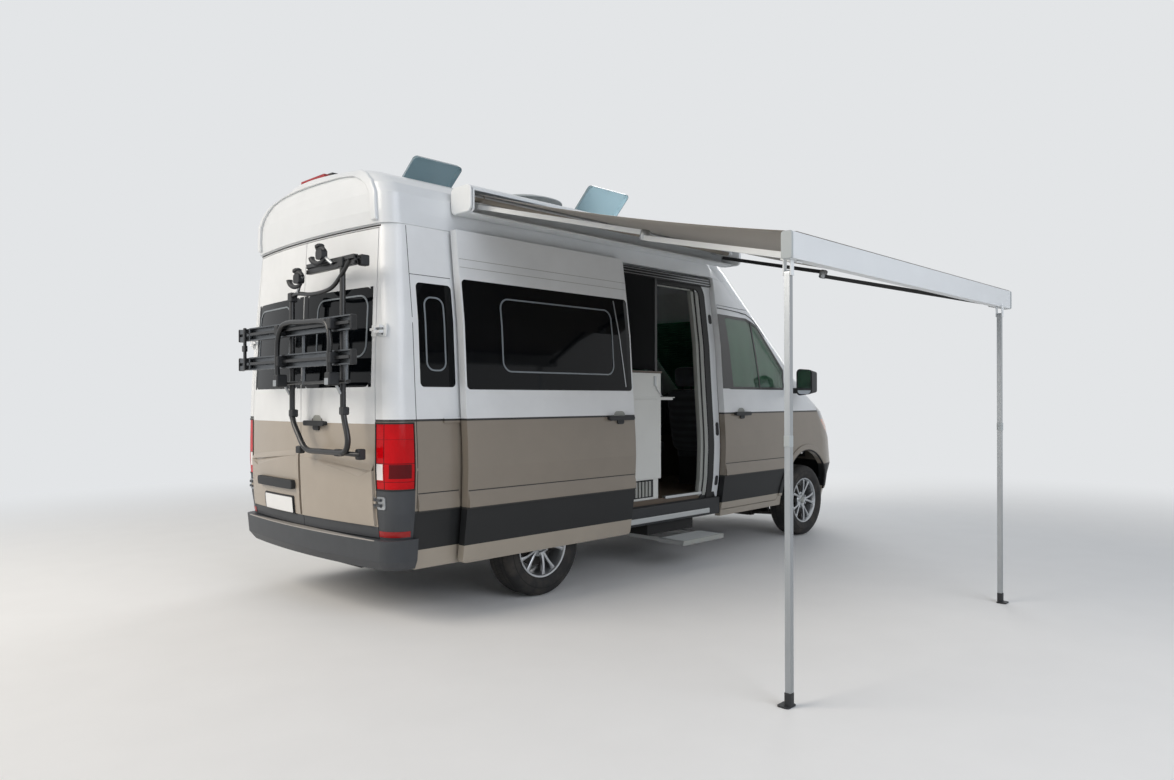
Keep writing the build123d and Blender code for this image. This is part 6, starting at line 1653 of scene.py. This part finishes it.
for name, body, outward in (("rear", "leg_rear", 1), ("front", "leg_front", -1)):
    low, high = van_box(f"awning_leg_{name}")
    x, y = (low[0] + high[0]) / 2, (low[1] + high[1]) / 2
    collar = prism(rounded_outline(35, 34, 7), 52, (x, y + outward, 1172), (1, 0, 0), (0, 1, 0))
    lever = block((x + 16, y - 7, 1186), (x + 27, y + 7, 1250))
    make_piece(f"leg_clamp_{name}", *joined(collar, lever), dish_grey, body, "awning_dark", bevel=3)
    foot = prism(rounded_outline(76, 62, 14), 8, (x, y + outward * 15, 0.5), (1, 0, 0), (0, 1, 0))
    boot = prism(rounded_outline(38, 34, 8), 60, (x, y + outward, 6), (1, 0, 0), (0, 1, 0))
    make_piece(f"leg_foot_{name}", *joined(foot, boot), grained_plastic, body, "awning_dark", bevel=2)

# %% [markdown]
# Foam seats and the mattress are rounded boxes: a superellipsoid, whose small exponent
# pushes a ball out towards its box. Seams are grooves that follow lines across the face.

# %% Seats and bed


def cushion(middle, size, lean=0.0, power=0.28, rows=28, columns=44, seams=0, groove=5.0):
    """Rounded box of foam: a ball's sines and cosines raised to a small power, leaned about Y."""
    lat = np.linspace(-np.pi / 2, np.pi / 2, rows)[:, None]
    lon = np.linspace(0, 2 * np.pi, columns, endpoint=False)[None, :]

    def pushed(value):
        """A sine or cosine raised to the corner power, with its sign kept."""
        return np.sign(value) * np.abs(value) ** power

    x = pushed(np.cos(lat)) * pushed(np.cos(lon)) * size[0] / 2
    y = pushed(np.cos(lat)) * pushed(np.sin(lon)) * size[1] / 2
    z = pushed(np.sin(lat)) * size[2] / 2 + 0 * lon
    if seams:
        wave = np.abs(np.sin(np.pi * seams * (y / size[1] + 0.5)))
        z = z - np.sign(z) * groove * (1 - np.minimum(wave * 4, 1)) * np.abs(pushed(np.sin(lat)))
    tilt_cos, tilt_sin = np.cos(lean), np.sin(lean)
    points = np.stack([x * tilt_cos + z * tilt_sin, y, -x * tilt_sin + z * tilt_cos], axis=-1)
    return points.reshape(-1, 3) + middle, grid_faces(rows, columns, False, True)


SEAT_Y = 470
seat_pieces = []
for name, side in (("right", -1), ("left", 1)):
    y = side * SEAT_Y
    shapes = {
        "cushion": cushion((2650, y, 886), (460, 480, 104), -0.06, seams=3),
        "back": cushion((2372, y, 1195), (92, 470, 590), -0.17, seams=0),
        "back_pad": cushion((2404, y, 1180), (70, 250, 470), -0.17, power=0.35),
        "headrest": cushion((2310, y, 1604), (78, 250, 184), -0.08, power=0.4),
    }
    for part, shape in shapes.items():
        finish = seat_centre if part == "back_pad" else seat_cloth
        piece = make_piece(f"cab_seat_{part}_{name}", *shape, finish, "van", "seat_cloth")
        seat_pieces.append(piece)
    stems = [tube([(2312, y + shift, 1478), (2312, y + shift, 1530)], 7, 10) for shift in (-50, 50)]
    base = block((2420, y - 185, 572), (2790, y + 185, 838))
    rigid = make_piece(
        f"seat_pedestal_{name}", *joined(base, *stems), dark_trim, "van", "chassis_steel", smooth=False,
        bevel=12,
    )
    seat_pieces.append(rigid)
for piece in seat_pieces:
    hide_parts("cab_seats")
bed_low, bed_high = van_box("rear_bed")
bed_middle = ((bed_low[0] + bed_high[0]) / 2, 0, 1062)
bed_size = (bed_high[0] - bed_low[0] - 30, 2 * min(-bed_low[1], bed_high[1]) - 40, 112)
mattress = make_piece(
    "mattress", *cushion(bed_middle, bed_size, power=0.14, seams=3, columns=96), bed_cloth, "van", "mattress",
)
board = block((bed_low[0] + 10, -780, 967), (bed_high[0] - 6, 780, 1000))
bed_board = make_piece("bed_board", *board, dark_wood, "van", "furniture_wood", smooth=False, bevel=4)
for piece in (mattress, bed_board):
    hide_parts("rear_bed")

# %% [markdown]
# A pleated fly screen is drawn back over the kitchen. Its pleats are a zigzag across and its
# leading edge is a black post. The entry step has ribs for grip.

# %% Fly screen and step
SCREEN_Y = -898
fold = np.linspace(858, 1296, 61)
level = np.linspace(1632, 2392, 12)
zig = SCREEN_Y + 9 * np.where(np.arange(61) % 2, 1, -1)
points = np.stack(np.broadcast_arrays(fold[None, :], zig[None, :], level[:, None]), axis=-1)
screen_cloth = grained("pleated_screen_cloth", "1B1D1F", 0.85, 1.5)
screen = make_piece(
    "fly_screen", points.reshape(-1, 3), grid_faces(12, 61), screen_cloth, "van", "awning_cloth",
    smooth=False,
)
screen.modifiers.new("cloth_thickness", "SOLIDIFY").thickness = 0.0008
post = block((1298, -912, 586), (1330, -884, 2396))
make_piece("fly_screen_post", *post, powder_black, "van", "bumper_plastic", smooth=False, bevel=5)
STEP_RIBS = np.arange(-1222, -1000, 26)
ribs = [block((1262, y, 261.5), (1768, y + 9, 266)) for y in STEP_RIBS]
make_piece("step_ribs", *joined(*ribs), sill_aluminium, "step", "leg_aluminium", smooth=False, bevel=1.5)
nose = block((1244, -1250, 226), (1786, -1240, 266))
make_piece("step_nose", *nose, trim_grey, "step", "leg_aluminium", smooth=False, bevel=4)
